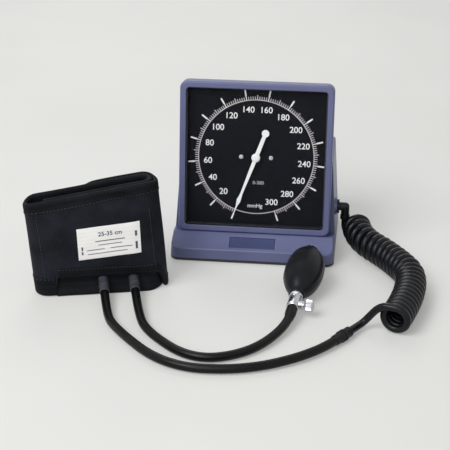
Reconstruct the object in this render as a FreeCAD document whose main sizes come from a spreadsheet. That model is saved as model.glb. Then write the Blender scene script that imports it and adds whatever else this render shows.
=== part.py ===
"""Desk-type aneroid sphygmomanometer, as an assembly of separate sub-parts, in millimetres.

Frame: +X to the right, +Y to the back, +Z up. The origin is on the desk, under the gauge head.
The gauge head is drawn in the dial's own axes (X right, Y up the dial, Z out of the dial towards the reader,
zero on the dial's face) and then leaned back on its stand.
"""
import math
import os
import re

import FreeCAD
import Part
import Sketcher
from FreeCAD import Placement, Rotation, Vector

SIZES = {
    "head_tilt": 10.0, "seat_front": -33.0, "seat_height": 26.0, "fit_gap": 0.3,
    "bezel_width": 163.0, "bezel_height": 163.0, "bezel_corner": 8.0, "bezel_wall": 4.5, "bezel_skirt": 5.0,
    "frame_width": 6.5, "frame_lip": 2.0, "front_round": 2.0, "window_corner": 4.0,
    "lens_thick": 2.0, "spacer_depth": 7.0, "spacer_width": 3.2, "dial_thick": 1.0, "dial_bore": 3.0,
    "dial_screw_offset": 16.0, "dial_screw_head": 2.2, "dial_screw_radius": 1.2, "dial_post_radius": 2.6,
    "screw_inset": 8.5, "screw_row_inset": 15.5, "screw_row_mid": -20.0,
    "boss_radius": 4.5, "screw_radius": 1.25, "screw_hole": 1.6, "screw_head": 2.8, "screw_head_height": 2.0,
    "screw_reach": 3.5,
    "flange_inset": 1.5, "flange_thick": 3.0, "flange_corner": 7.0,
    "tub_inset": 18.5, "tub_depth": 26.0, "tub_wall": 2.5, "tub_corner": 10.0, "tub_round": 3.0,
    "gear_module": 0.4, "pinion_teeth": 16.0, "gear_ratio": 8.0, "tooth_slack": 0.07, "pinion_length": 2.8,
    "sector_thick": 1.6, "gear_level": 10.4, "sector_hub": 5.5, "sector_travel": 40.0, "sector_teeth": 20.0,
    "arbor_radius": 0.9, "sector_arbor_radius": 1.2, "running_gap": 0.05, "arbor_front": 4.6,
    "plate_thick": 1.2, "front_plate_level": 5.0, "back_plate_level": 14.0, "plate_width": 46.0,
    "plate_top": 10.0, "plate_bottom": 42.0, "plate_corner": 4.0,
    "pillar_radius": 2.0, "post_radius": 3.0, "pillar_column": 19.0, "pillar_row_top": 6.0, "pillar_row_low": -38.0,
    "collet_radius": 1.8, "collet_length": 1.6, "collet_level": 8.4,
    "spring_turns": 4.0, "spring_pitch": 1.2, "spring_ribbon": 0.25, "spring_width": 1.0, "spring_start": 2.1,
    "tail_pin_offset": 3.3, "tail_pin_radius": 0.6, "tail_pin_length": 3.4, "finger_length": 6.0,
    "rocker_shaft_radius": 1.0, "rocker_level": 19.4, "rocker_arm": 8.0, "rocker_bar": 1.2, "rocker_gap": 0.1,
    "lug_inner": 8.0, "lug_thick": 2.0, "lug_half": 2.6,
    "capsule_radius": 22.0, "capsule_front": 21.5, "capsule_thick": 5.0, "stud_radius": 5.0,
    "pin_radius": 1.0, "pin_foot": 1.9, "nipple_length": 8.0, "pipe_level": 29.0,
    "pipe_radius": 1.5, "pipe_bore": 0.9, "pipe_port_rise": 27.5, "pipe_port_level": 18.0, "pipe_run": 18.0,
    "pipe_turn": 21.0,
    "pointer_reach": 70.0, "pointer_tail": 28.5, "pointer_disc": 4.0, "pointer_half": 2.2, "pointer_thick": 0.6,
    "pointer_level": 3.4, "pointer_hub": 4.7, "pointer_cap_height": 1.6, "pointer_rest": 250.0,
    "base_margin": 6.5, "base_front": -55.0, "base_rear": 80.0, "stand_bottom": 4.0, "skirt_top": 15.0,
    "cheek_top": 100.0, "flank_lean": 6.0, "rear_top": 77.0, "stand_wall": 3.0, "basket_floor": 7.0,
    "notch_gap": 1.5, "notch_floor": 31.0, "stand_corner": 9.0, "stand_round": 2.0,
    "recess_width": 49.0, "recess_height": 15.0, "recess_depth": 1.8, "recess_rise": 4.0, "plate_inset": 1.2,
    "foot_inset": 14.0, "foot_row_front": -43.0, "foot_row_rear": 66.0, "foot_boss": 4.2,
    "foot_boss_rear": 14.0, "foot_boss_front": 18.0,
    "mat_thick": 1.6, "mat_inset": 2.0, "foot_screw_head": 3.0, "foot_screw_height": 1.4, "foot_screw_length": 9.0,
    "port_boss": 9.0, "port_depth": 8.5, "pipe_socket": 0.5, "port_thread": 4.0, "port_flange": 7.5,
    "port_flange_thick": 2.5, "elbow_radius": 4.5, "elbow_reach": 9.0, "elbow_drop": 10.0, "ferrule_radius": 5.2,
    "ferrule_length": 4.0, "nut_radius": 7.0, "nut_thick": 3.0,
    "coil_tube": 7.5, "coil_diameter": 36.0, "coil_lift": 0.3, "coil_turns": 23.75, "coil_bend": 90.0,
    "coil_lead": 9.0, "coil_step": 0.35,
    "coil_corner_x": 181.0, "coil_corner_y": -100.0, "coil_end_x": 153.0, "coil_end_y": -193.0,
    "connector_radius": 6.0, "connector_length": 26.0, "connector_height": 6.2, "connector_step": 9.0,
    "hose_radius": 4.5,
    "bulb_x": 59.5, "bulb_y": -109.2, "bulb_z": 20.55, "bulb_heading": 263.0, "bulb_dip": 8.0,
    "bulb_radius": 20.0, "bulb_half": 37.5, "bulb_wall": 3.0, "bulb_cut": 34.5, "neck_radius": 8.0, "neck_bore": 4.5,
    "neck_start": 28.5, "neck_end": 41.5, "collar_radius": 7.0, "collar_length": 3.0, "valve_radius": 6.5,
    "valve_length": 16.0, "valve_neck": 4.0, "valve_neck_length": 4.0, "valve_ferrule": 5.2,
    "valve_ferrule_length": 8.0, "spigot_start": 30.5, "air_bore": 2.0, "branch_level": 55.0, "branch_radius": 4.5,
    "branch_end": 11.0, "stem_radius": 2.0, "stem_start": 2.2, "knob_radius": 6.5, "knob_start": 12.0,
    "knob_length": 8.0, "knob_notches": 18.0, "notch_radius": 0.7, "cup_bore": 2.8, "ball_radius": 2.2,
    "seat_bore": 1.2, "ball_travel": 2.0, "cup_depth": 8.4, "stop_thick": 1.6, "end_flange": 6.5,
    "end_flange_thick": 2.5,
    "cuff_x": -213.0, "cuff_y": -156.0, "cuff_turn": 14.0, "cuff_lean": 0.078, "cuff_length": 140.0,
    "cuff_thick": 34.0, "cuff_layer": 4.6, "cuff_pitch": 5.8, "cuff_height_left": 102.0, "cuff_height_right": 121.0,
    "cuff_hem": 20.0, "cuff_flap_start": 47.0, "cuff_inner_end": 24.0,
    "bladder_left": 28.0, "bladder_right": 116.0, "bladder_top": 95.0, "bladder_front": 1.2, "bladder_thick": 2.2,
    "stub_length": 11.0, "stub_cuff": 72.0, "stub_bulb": 103.0, "stub_out": 6.0, "stub_height": 13.0,
    "label_width": 65.5, "label_height": 37.0, "label_thick": 0.5, "label_centre": 80.5, "label_level": 60.5,
    "label_slope": 4.7,
    "tape_left": 52.0, "tape_right": 97.0, "tape_low": 20.0, "tape_top": 88.0, "tape_thick": 0.9,
}

TIES = {
    "base_width": "bezel_width + 2 * base_margin", "foot_column": "base_width / 2 - foot_inset",
    "screw_column": "bezel_width / 2 - screw_inset", "screw_row_top": "bezel_height / 2 - screw_row_inset",
    "screw_row_low": "screw_row_inset - bezel_height / 2",
    "flange_width": "bezel_width - 2 * flange_inset", "flange_height": "bezel_height - 2 * flange_inset",
    "tub_width": "bezel_width - 2 * tub_inset", "tub_height": "bezel_height - 2 * tub_inset",
    "pipe_port_row": "pipe_port_rise - bezel_height / 2", "top_width": "base_width - 2 * flank_lean",
    "port_outer": "base_width / 2", "port_inner": "base_width / 2 - port_depth",
    "pipe_end": "base_width / 2 - port_depth + pipe_socket", "elbow_column": "base_width / 2 + elbow_reach",
}

doc = FreeCAD.newDocument("Sphygmomanometer")
sheet = doc.addObject("Spreadsheet::Sheet", "Sizes")
NAMES = re.compile(r"[a-z_]{4,}")
nodes = {}


def put_sizes(table, first_row):
    """Writes each size into a cell of its own, under its name."""
    for row, (name, number) in enumerate(table.items(), first_row):
        sheet.set(f"A{row}", name)
        sheet.set(f"B{row}", f"={number}" if isinstance(number, str) else repr(number))
        sheet.setAlias(f"B{row}", name)
    doc.recompute()


def expr(text):
    """The expression with every size name pointed at its cell."""
    return NAMES.sub(lambda found: "Sizes." + found.group(0), str(text))


def val(text):
    """The number that an expression of size names stands for now."""
    return float(sheet.evalExpression(expr(text)))


def bind(item, links):
    for path, text in links.items():
        item.setExpression(path, expr(text))


put_sizes(SIZES, 1)
put_sizes(TIES, len(SIZES) + 1)
TILT = math.radians(val("head_tilt"))
UP_DIAL = Vector(0, math.sin(TILT), math.cos(TILT))
OUT_DIAL = Vector(0, -math.cos(TILT), math.sin(TILT))
BEZEL_FRONT = val("spacer_depth + lens_thick + frame_lip")
SEAT = Vector(0, val("seat_front"), val("seat_height"))
DIAL_CENTRE = SEAT + UP_DIAL * val("bezel_height / 2") - OUT_DIAL * BEZEL_FRONT
HEAD = Placement(DIAL_CENTRE, Rotation(Vector(1, 0, 0), 90 - val("head_tilt")))
GEAR_CENTRES = val("gear_module * pinion_teeth * (1 + gear_ratio) / 2")
PANEL_FOOT = HEAD.multVec(Vector(0, -val("bezel_height / 2"), -val("bezel_skirt + flange_thick")))
PORT = HEAD.multVec(Vector(0, val("pipe_port_row"), -val("pipe_port_level")))
TAIL_PIN_START = math.radians(val("sector_travel") / 2)
TAIL_PIN_Y = -GEAR_CENTRES + val("tail_pin_offset") * math.sin(TAIL_PIN_START)
ROCKER_Y = TAIL_PIN_Y + val("tail_pin_radius + rocker_gap + rocker_bar / 2")


def panel_at(height):
    """How far back the stand's leaning front panel is at a height."""
    return PANEL_FOOT.y + (height - PANEL_FOOT.z) * math.tan(TILT)


DERIVED = {
    "gear_centres": GEAR_CENTRES, "rocker_row": ROCKER_Y, "capsule_row": ROCKER_Y + val("rocker_arm"),
    "ledge_front_y": val("seat_front") - val("fit_gap") * math.sin(TILT),
    "ledge_front_z": val("seat_height") - val("fit_gap") * math.cos(TILT),
    "ledge_back_y": panel_at(PANEL_FOOT.z - val("fit_gap")), "ledge_back_z": PANEL_FOOT.z - val("fit_gap"),
    "panel_top_y": panel_at(val("cheek_top")), "panel_low_y": panel_at(val("basket_floor")),
    "panel_depth": val("stand_wall") / math.cos(TILT), "port_y": PORT.y, "port_z": PORT.z,
}
put_sizes(DERIVED, len(SIZES) + len(TIES) + 1)

ALONG = {"x": Rotation(Vector(0, 1, 0), 90), "y": Rotation(Vector(1, 0, 0), -90), "z": Rotation()}


def place(item, along, x, y, z):
    item.Placement = Placement(Vector(val(x), val(y), val(z)), ALONG[along])
    bind(item, {"Placement.Base.x": x, "Placement.Base.y": y, "Placement.Base.z": z})
    return item


def rod(radius, length, x, y, z, along="z"):
    item = doc.addObject("Part::Cylinder", "Rod")
    bind(item, {"Radius": radius, "Height": length})
    return place(item, along, x, y, z)


def ball(radius, x, y, z):
    item = doc.addObject("Part::Sphere", "Ball")
    bind(item, {"Radius": radius})
    return place(item, "z", x, y, z)


def block(length, width, height, x, y, z):
    item = doc.addObject("Part::Box", "Block")
    bind(item, {"Length": length, "Width": width, "Height": height})
    return place(item, "z", x, y, z)


def fuse(items, label="Joined"):
    item = doc.addObject("Part::MultiFuse", label)
    item.Shapes = items
    item.Refine = True
    return item


def cut(base, tools, label="Cut"):
    item = doc.addObject("Part::Cut", label)
    item.Base = base
    item.Tool = tools[0] if len(tools) == 1 else fuse(tools)
    item.Refine = True
    return item


def group(items, label):
    item = doc.addObject("Part::Compound", label)
    item.Links = items
    return item


def feature(shape, label="Formed"):
    item = doc.addObject("Part::Feature", label)
    item.Shape = shape
    return item


def keep(name, item, placement=None):
    """Names a finished sub-part and sets where it stands in the assembly."""
    item.Label = name
    if placement is not None:
        item.Placement = placement
    nodes[name] = item
    return item


def new_body(label):
    return doc.addObject("PartDesign::Body", label)


def sketch(body, level="0", role="XY_Plane"):
    item = body.newObject("Sketcher::SketchObject", "Sketch")
    base = next(plane for plane in body.Origin.OriginFeatures if plane.Role == role)
    item.AttachmentSupport = [(base, "")]
    item.MapMode = "FlatFace"
    bind(item, {"AttachmentOffset.Base.z": level})
    return item


def hold(item, geometry, point, x, y):
    """Holds a point of a sketch at a pair of expressions."""
    for kind, text in (("DistanceX", x), ("DistanceY", y)):
        row = item.addConstraint(Sketcher.Constraint(kind, -1, 1, geometry, point, val(text)))
        item.setExpression(f"Constraints[{row}]", expr(text))


def outline(item, corners):
    """A closed outline of straight edges through corners given as pairs of expressions."""
    spots = [Vector(val(x), val(y), 0) for x, y in corners]
    first = item.GeometryCount
    count = len(spots)
    for here, there in zip(spots, spots[1:] + spots[:1]):
        item.addGeometry(Part.LineSegment(here, there), False)
    for edge in range(count):
        item.addConstraint(Sketcher.Constraint("Coincident", first + edge, 2, first + (edge + 1) % count, 1))
    for edge, (x, y) in enumerate(corners):
        hold(item, first + edge, 1, x, y)


def rectangle(item, width, height):
    half_x, half_y = f"({width}) / 2", f"({height}) / 2"
    outline(item, [(f"-{half_x}", f"-{half_y}"), (half_x, f"-{half_y}"), (half_x, half_y), (f"-{half_x}", half_y)])


def circle(item, radius, x="0", y="0"):
    row = item.addGeometry(Part.Circle(Vector(val(x), val(y), 0), Vector(0, 0, 1), val(radius)), False)
    hold(item, row, 3, x, y)
    link = item.addConstraint(Sketcher.Constraint("Radius", row, val(radius)))
    item.setExpression(f"Constraints[{link}]", expr(radius))


def pad(body, profile, length, reverse=False, both=False):
    item = body.newObject("PartDesign::Pad", "Pad")
    item.Profile = profile
    item.Reversed = reverse
    if both:
        item.SideType = "Symmetric"
    bind(item, {"Length": length})
    doc.recompute()
    return item


def pocket(body, profile, length, reverse=False, both=False):
    before = body.Shape.Volume
    item = body.newObject("PartDesign::Pocket", "Pocket")
    item.Profile = profile
    item.Reversed = reverse
    if both:
        item.SideType = "Symmetric"
    bind(item, {"Length": length})
    doc.recompute()
    if not body.Shape.Volume < before - 1e-3:
        raise RuntimeError(f"a pocket of {body.Label} takes nothing away")
    return item


def revolve(body, profile):
    item = body.newObject("PartDesign::Revolution", "Revolution")
    item.Profile = profile
    item.ReferenceAxis = (profile, ["V_Axis"])
    item.Angle = 360
    doc.recompute()
    return item


def fillet(body, wanted, radius):
    base = body.Tip
    edges = [f"Edge{row}" for row, edge in enumerate(base.Shape.Edges, 1) if wanted(edge)]
    item = body.newObject("PartDesign::Fillet", "Fillet")
    item.Base = (base, edges)
    bind(item, {"Radius": radius})
    doc.recompute()
    return item


def upright(reach_low, reach_high):
    """Picks straight edges along Z whose distance from the middle across X lies in a range."""
    def wanted(edge):
        ends = [vertex.Point for vertex in edge.Vertexes]
        if len(ends) != 2 or math.hypot(ends[0].x - ends[1].x, ends[0].y - ends[1].y) > 1e-6:
            return False
        return reach_low <= abs(ends[0].x) <= reach_high
    return wanted


def level_with(height, reach):
    """Picks edges that lie at one height and outside a distance from the middle."""
    def wanted(edge):
        box = edge.BoundBox
        flat = abs(box.ZMin - height) < 1e-6 and abs(box.ZMax - height) < 1e-6
        return flat and max(abs(box.XMin), abs(box.XMax), abs(box.YMin), abs(box.YMax)) > reach
    return wanted


SCREW_SPOTS = [(side + "screw_column", row) for row in ("screw_row_top", "screw_row_mid", "screw_row_low")
               for side in ("", "-")]
CAVITY_WIDE = "bezel_width - 2 * bezel_wall"
CAVITY_TALL = "bezel_height - 2 * bezel_wall"
INSERT_WIDE = "bezel_width - 2 * bezel_wall - 2 * fit_gap"
INSERT_TALL = "bezel_height - 2 * bezel_wall - 2 * fit_gap"
INSERT_CORNER = "bezel_corner - bezel_wall - fit_gap"
FACE_LEVEL = "spacer_depth + lens_thick + frame_lip"


def make_bezel():
    """Square frame with rounded corners, a lip in front of the window, and screw bosses behind the dial."""
    body = new_body("Bezel")
    face = sketch(body, "-bezel_skirt")
    rectangle(face, "bezel_width", "bezel_height")
    pad(body, face, f"bezel_skirt + {FACE_LEVEL}")
    fillet(body, upright(1, 1000), "bezel_corner")
    fillet(body, level_with(val(FACE_LEVEL), 1), "front_round")
    opening = sketch(body, FACE_LEVEL)
    rectangle(opening, "bezel_width - 2 * frame_width", "bezel_height - 2 * frame_width")
    pocket(body, opening, f"bezel_skirt + {FACE_LEVEL}")
    window_half = val("bezel_width / 2 - frame_width")
    fillet(body, upright(window_half - 0.1, window_half + 0.1), "window_corner")
    cavity = sketch(body, "-bezel_skirt")
    rectangle(cavity, CAVITY_WIDE, CAVITY_TALL)
    pocket(body, cavity, "bezel_skirt + spacer_depth + lens_thick", reverse=True)
    cavity_half = val("bezel_width / 2 - bezel_wall")
    fillet(body, upright(cavity_half - 0.1, cavity_half + 0.1), "bezel_corner - bezel_wall")
    bosses = sketch(body, "-bezel_skirt")
    for x, y in SCREW_SPOTS:
        circle(bosses, "boss_radius", x, y)
    pad(body, bosses, "bezel_skirt - dial_thick")
    pilots = sketch(body, "-bezel_skirt")
    for x, y in SCREW_SPOTS:
        circle(pilots, "screw_radius", x, y)
    pocket(body, pilots, "screw_reach", reverse=True)
    keep("bezel", body, HEAD)


def make_window_stack():
    """Clear window, the spacer frame behind it, and the dial plate that the spacer stands on."""
    lens = new_body("Lens")
    pane = sketch(lens, "spacer_depth")
    rectangle(pane, INSERT_WIDE, INSERT_TALL)
    pad(lens, pane, "lens_thick")
    fillet(lens, upright(1, 1000), INSERT_CORNER)
    keep("dial_window", lens, HEAD)

    spacer = new_body("Spacer")
    ring = sketch(spacer)
    rectangle(ring, INSERT_WIDE, INSERT_TALL)
    rectangle(ring, f"{INSERT_WIDE} - 2 * spacer_width", f"{INSERT_TALL} - 2 * spacer_width")
    pad(spacer, ring, "spacer_depth")
    outer_half = val(f"({INSERT_WIDE}) / 2")
    fillet(spacer, upright(outer_half - 0.1, outer_half + 0.1), INSERT_CORNER)
    keep("window_spacer", spacer, HEAD)

    dial = new_body("Dial")
    plate = sketch(dial, "-dial_thick")
    rectangle(plate, INSERT_WIDE, INSERT_TALL)
    circle(plate, "dial_bore")
    for side in ("", "-"):
        circle(plate, "dial_screw_radius", f"{side}dial_screw_offset")
    pad(dial, plate, "dial_thick")
    fillet(dial, upright(outer_half - 0.1, outer_half + 0.1), INSERT_CORNER)
    keep("dial_plate", dial, HEAD)

    screws = []
    posts = []
    for side in ("", "-"):
        column = f"{side}dial_screw_offset"
        head = rod("dial_screw_head", "screw_radius", column, "0", "0")
        shank_length = "front_plate_level + 2 * plate_thick"
        shank = rod("dial_screw_radius", shank_length, column, "0", f"-({shank_length})")
        screws.append(fuse([head, shank]))
        post = rod("dial_post_radius", "front_plate_level - dial_thick", column, "0", "-front_plate_level")
        bore = rod("dial_screw_radius", "front_plate_level", column, "0", "-front_plate_level - dial_thick")
        posts.append(cut(post, [bore]))
    keep("dial_screws", group(screws, "DialScrews"), HEAD)
    keep("dial_posts", group(posts, "DialPosts"), HEAD)


def make_rear_case():
    """Tub behind the dial with a flange that closes the bezel, and the screws through it."""
    body = new_body("RearCase")
    flange = sketch(body, "-bezel_skirt - flange_thick")
    rectangle(flange, "flange_width", "flange_height")
    pad(body, flange, "flange_thick")
    fillet(body, upright(1, 1000), "flange_corner")
    tub = sketch(body, "-bezel_skirt - flange_thick")
    rectangle(tub, "tub_width", "tub_height")
    pad(body, tub, "tub_depth", reverse=True)
    hollow = sketch(body, "-bezel_skirt")
    rectangle(hollow, "tub_width - 2 * tub_wall", "tub_height - 2 * tub_wall")
    pocket(body, hollow, "flange_thick + tub_depth - tub_wall")
    hollow_half = val("tub_width / 2 - tub_wall")
    fillet(body, upright(hollow_half - 0.1, hollow_half + 0.1), "tub_corner - tub_wall")
    tub_half = val("tub_width / 2")
    fillet(body, upright(tub_half - 0.1, tub_half + 0.1), "tub_corner")
    fillet(body, level_with(-val("bezel_skirt + flange_thick + tub_depth"), 1), "tub_round")
    holes = sketch(body, "-bezel_skirt")
    for x, y in SCREW_SPOTS:
        circle(holes, "screw_hole", x, y)
    pocket(body, holes, "flange_thick")
    pipe_hole = rod("pipe_radius + fit_gap / 3", "3 * tub_wall", "tub_width / 2 - 2 * tub_wall",
                    "pipe_port_row", "-pipe_port_level", "x")
    keep("rear_case", cut(body, [pipe_hole], "RearCaseBored"), HEAD)

    for name, spots, packing in (("case_screws", SCREW_SPOTS[:2], "flange_thick"),
                                 ("stand_screws", SCREW_SPOTS[2:], "flange_thick + stand_wall")):
        screws = []
        for x, y in spots:
            seat = f"-bezel_skirt - ({packing})"
            shank = rod("screw_radius", f"screw_reach + {packing}", x, y, seat)
            head = rod("screw_head", "screw_head_height", x, y, f"{seat} - screw_head_height")
            screws.append(fuse([head, shank]))
        keep(name, group(screws, name.title().replace("_", "")), HEAD)


def tooth_edges(teeth, slack, tip, direction):
    """Flank, tip and flank of one involute tooth about a direction, each flank as one arc of three true points."""
    module = val("gear_module")
    pitch = module * teeth / 2
    base = pitch * math.cos(math.radians(20))
    root = pitch - 1.25 * module
    foot = max(base, root)
    half_at_pitch = (math.pi * module / 2 - slack) / (2 * pitch)
    involute_20 = math.tan(math.radians(20)) - math.radians(20)

    def spot(radius, side):
        lean = math.acos(min(1.0, base / radius))
        half = half_at_pitch + involute_20 - (math.tan(lean) - lean)
        angle = direction + side * half
        return Vector(radius * math.cos(angle), radius * math.sin(angle), 0)

    middle = (foot + tip) / 2
    right = Part.Arc(spot(foot, -1), spot(middle, -1), spot(tip, -1)).toShape()
    crest_middle = Vector(tip * math.cos(direction), tip * math.sin(direction), 0)
    crest = Part.Arc(spot(tip, -1), crest_middle, spot(tip, 1)).toShape()
    left = Part.Arc(spot(tip, 1), spot(middle, 1), spot(foot, 1)).toShape()
    edges = [right, crest, left]
    first = spot(foot, -1)
    last = spot(foot, 1)
    if root < foot:
        inner_first = first * (root / foot)
        inner_last = last * (root / foot)
        edges = [Part.LineSegment(inner_first, first).toShape()] + edges
        edges.append(Part.LineSegment(last, inner_last).toShape())
        first, last = inner_first, inner_last
    return edges, first, last


def between(last, first):
    """Root arc from one tooth's foot to the next one's, about the gear's centre."""
    radius = last.Length
    middle = last + first
    middle.normalize()
    return Part.Arc(last, middle * radius, first).toShape()


def make_gears():
    """Pinion on the pointer's arbor, and the toothed sector that drives it."""
    teeth = int(val("pinion_teeth"))
    slack = val("tooth_slack")
    module = val("gear_module")
    step = 2 * math.pi / teeth
    parts = [tooth_edges(teeth, slack, module * teeth / 2 + module, -math.pi / 2 + step * (row + 0.5))
             for row in range(teeth)]
    edges = []
    for row, (flanks, first, last) in enumerate(parts):
        edges += flanks + [between(last, parts[(row + 1) % teeth][1])]
    wheel = Part.Face(Part.Wire(edges)).extrude(Vector(0, 0, val("pinion_length")))
    wheel.translate(Vector(0, 0, -val("gear_level + pinion_length / 2")))
    shaft = rod("arbor_radius", "arbor_front + back_plate_level + 1.5 * plate_thick", "0", "0",
                "-back_plate_level - 1.5 * plate_thick")
    collet = rod("collet_radius", "collet_length", "0", "0", "-collet_level")
    keep("pinion_arbor", fuse([feature(wheel, "Pinion"), shaft, collet], "PinionArbor"), HEAD)

    whole = int(round(teeth * val("gear_ratio")))
    step = 2 * math.pi / whole
    radius = module * whole / 2
    count = int(val("sector_teeth"))
    lead = (count - int(round(val("sector_travel") / math.degrees(step)))) // 2
    rows = range(lead, lead - count, -1)
    parts = [tooth_edges(whole, slack, radius + 0.8 * module, math.pi / 2 + step * row) for row in reversed(rows)]
    edges = []
    for row, (flanks, first, last) in enumerate(parts):
        edges += flanks
        if row + 1 < count:
            edges.append(between(last, parts[row + 1][1]))
    first, last = parts[0][1], parts[-1][2]
    hub = val("sector_hub")
    hub_first, hub_last = first * (hub / first.Length), last * (hub / last.Length)
    away = hub_first + hub_last
    away.normalize()
    edges.append(Part.LineSegment(last, hub_last).toShape())
    edges.append(Part.Arc(hub_last, away * -hub, hub_first).toShape())
    edges.append(Part.LineSegment(hub_first, first).toShape())
    plate = Part.Face(Part.Wire(edges))
    slot_in, slot_out = hub + 3, radius - 4.5
    middle = (first + last) * 0.5
    middle.normalize()
    side = Vector(-middle.y, middle.x, 0)
    window = [middle * slot_in, middle * slot_out + side * 6, middle * slot_out - side * 6]
    window_face = Part.Face(Part.makePolygon(window + window[:1]))
    arm = plate.cut(window_face).extrude(Vector(0, 0, val("sector_thick")))
    arm.translate(Vector(0, -GEAR_CENTRES, -val("gear_level + sector_thick / 2")))
    pin_x = -val("tail_pin_offset") * math.cos(TAIL_PIN_START)
    pin = rod("tail_pin_radius", "tail_pin_length + sector_thick", pin_x, TAIL_PIN_Y,
              "-gear_level - sector_thick / 2 - tail_pin_length")
    bore = rod("sector_arbor_radius", "3 * sector_thick", "0", "-gear_centres", "-gear_level - 1.5 * sector_thick")
    keep("sector_gear", cut(fuse([feature(arm, "SectorPlate"), pin]), [bore], "SectorGear"), HEAD)
    length = "back_plate_level - front_plate_level + 2.5 * plate_thick"
    arbor = rod("sector_arbor_radius", length, "0", "-gear_centres", "-back_plate_level - 1.5 * plate_thick")
    keep("sector_arbor", group([arbor], "SectorArbor"), HEAD)


def make_hairspring():
    """Flat spiral ribbon of half turns about two centres, from the collet out to a stud."""
    pitch = val("spring_pitch")
    ribbon = val("spring_ribbon")
    start = val("spring_start")
    level = -val("collet_level - 0.3")
    halves = int(2 * val("spring_turns"))

    def two_centre(offset):
        arcs = []
        here = Vector(start + offset, 0, level)
        for row in range(halves):
            way = 1 if row % 2 == 0 else -1
            radius = start + offset + row * pitch / 2
            centre = here - Vector(way * radius, 0, 0)
            there = centre - Vector(way * radius, 0, 0)
            arcs.append(Part.Arc(here, centre + Vector(0, way * radius, 0), there).toShape())
            here = there
        return arcs, here

    inner, inner_end = two_centre(0)
    outer, outer_end = two_centre(ribbon)
    closing = [Part.LineSegment(inner_end, outer_end).toShape(),
               Part.LineSegment(Vector(start, 0, level), Vector(start + ribbon, 0, level)).toShape()]
    wire = Part.Wire(Part.__sortEdges__(inner + outer + closing))
    ribbon_solid = Part.Face(wire).extrude(Vector(0, 0, val("spring_width")))
    keep("hairspring", feature(ribbon_solid, "Hairspring"), HEAD)
    return outer_end


def make_plates(stud_spot):
    """Front and back plates of the movement, with the pillars between them and the posts that carry them."""
    def plate_body(label, level):
        body = new_body(label)
        face = sketch(body, f"-({level}) - plate_thick")
        outline(face, [("-plate_width / 2", "-plate_bottom"), ("plate_width / 2", "-plate_bottom"),
                       ("plate_width / 2", "plate_top"), ("-plate_width / 2", "plate_top")])
        circle(face, "arbor_radius + running_gap")
        circle(face, "sector_arbor_radius + running_gap", "0", "-gear_centres")
        pad(body, face, "plate_thick")
        fillet(body, upright(val("plate_width / 2") - 0.1, val("plate_width / 2") + 0.1), "plate_corner")
        return body

    front = plate_body("FrontPlate", "front_plate_level")
    stud = rod("tail_pin_radius", "collet_level - front_plate_level", stud_spot.x + val("tail_pin_radius"),
               stud_spot.y, "-collet_level")
    holes = [rod("dial_screw_radius", "3 * plate_thick", f"{side}dial_screw_offset", "0",
                 "-front_plate_level - 2 * plate_thick") for side in ("", "-")]
    keep("movement_front_plate", fuse([cut(front, holes), stud], "FrontPlateWithStud"), HEAD)

    back = plate_body("BackPlate", "back_plate_level")
    lug_length = "rocker_level - back_plate_level + rocker_shaft_radius + 1"
    lugs = [block("lug_thick", "2 * lug_half", lug_length, x, "rocker_row - lug_half",
                  f"-back_plate_level - ({lug_length})") for x in ("lug_inner", "-lug_inner - lug_thick")]
    bearing = rod("rocker_shaft_radius + running_gap", "3 * lug_inner", "-1.5 * lug_inner", "rocker_row",
                  "-rocker_level", "x")
    slot = block("2.5", "6.6", "4 * plate_thick", "-4.4", "rocker_row - 4.4", "-back_plate_level - 2 * plate_thick")
    keep("movement_back_plate", cut(fuse([back] + lugs), [bearing, slot], "BackPlateBored"), HEAD)

    spots = [(side + "pillar_column", row) for row in ("pillar_row_top", "pillar_row_low") for side in ("", "-")]
    gap = "back_plate_level - front_plate_level - plate_thick"
    pillars = [rod("pillar_radius", gap, x, y, "-back_plate_level") for x, y in spots]
    keep("movement_pillars", group(pillars, "Pillars"), HEAD)
    reach = "bezel_skirt + flange_thick + tub_depth - tub_wall - back_plate_level - plate_thick"
    posts = [rod("post_radius", reach, x, y, f"-back_plate_level - plate_thick - ({reach})") for x, y in spots]
    keep("movement_posts", group(posts, "Posts"), HEAD)


def make_rocker():
    """Rocking lever: its arm rides on the capsule's pin and its finger pushes the sector's tail pin."""
    half = "lug_inner + lug_thick + 0.5"
    shaft = rod("rocker_shaft_radius", f"2 * ({half})", f"-({half})", "rocker_row", "-rocker_level", "x")
    arm = block("2 * rocker_bar", "rocker_arm + rocker_bar", "1.6", "-rocker_bar", "rocker_row", "-rocker_level - 0.8")
    finger_x = -val("tail_pin_offset") * math.cos(TAIL_PIN_START) - val("rocker_bar") / 2
    finger = block("rocker_bar", "rocker_bar", "finger_length", finger_x, "rocker_row - rocker_bar / 2",
                   "-rocker_level")
    keep("rocking_lever", fuse([shaft, arm, finger], "RockingLever"), HEAD)


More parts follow.
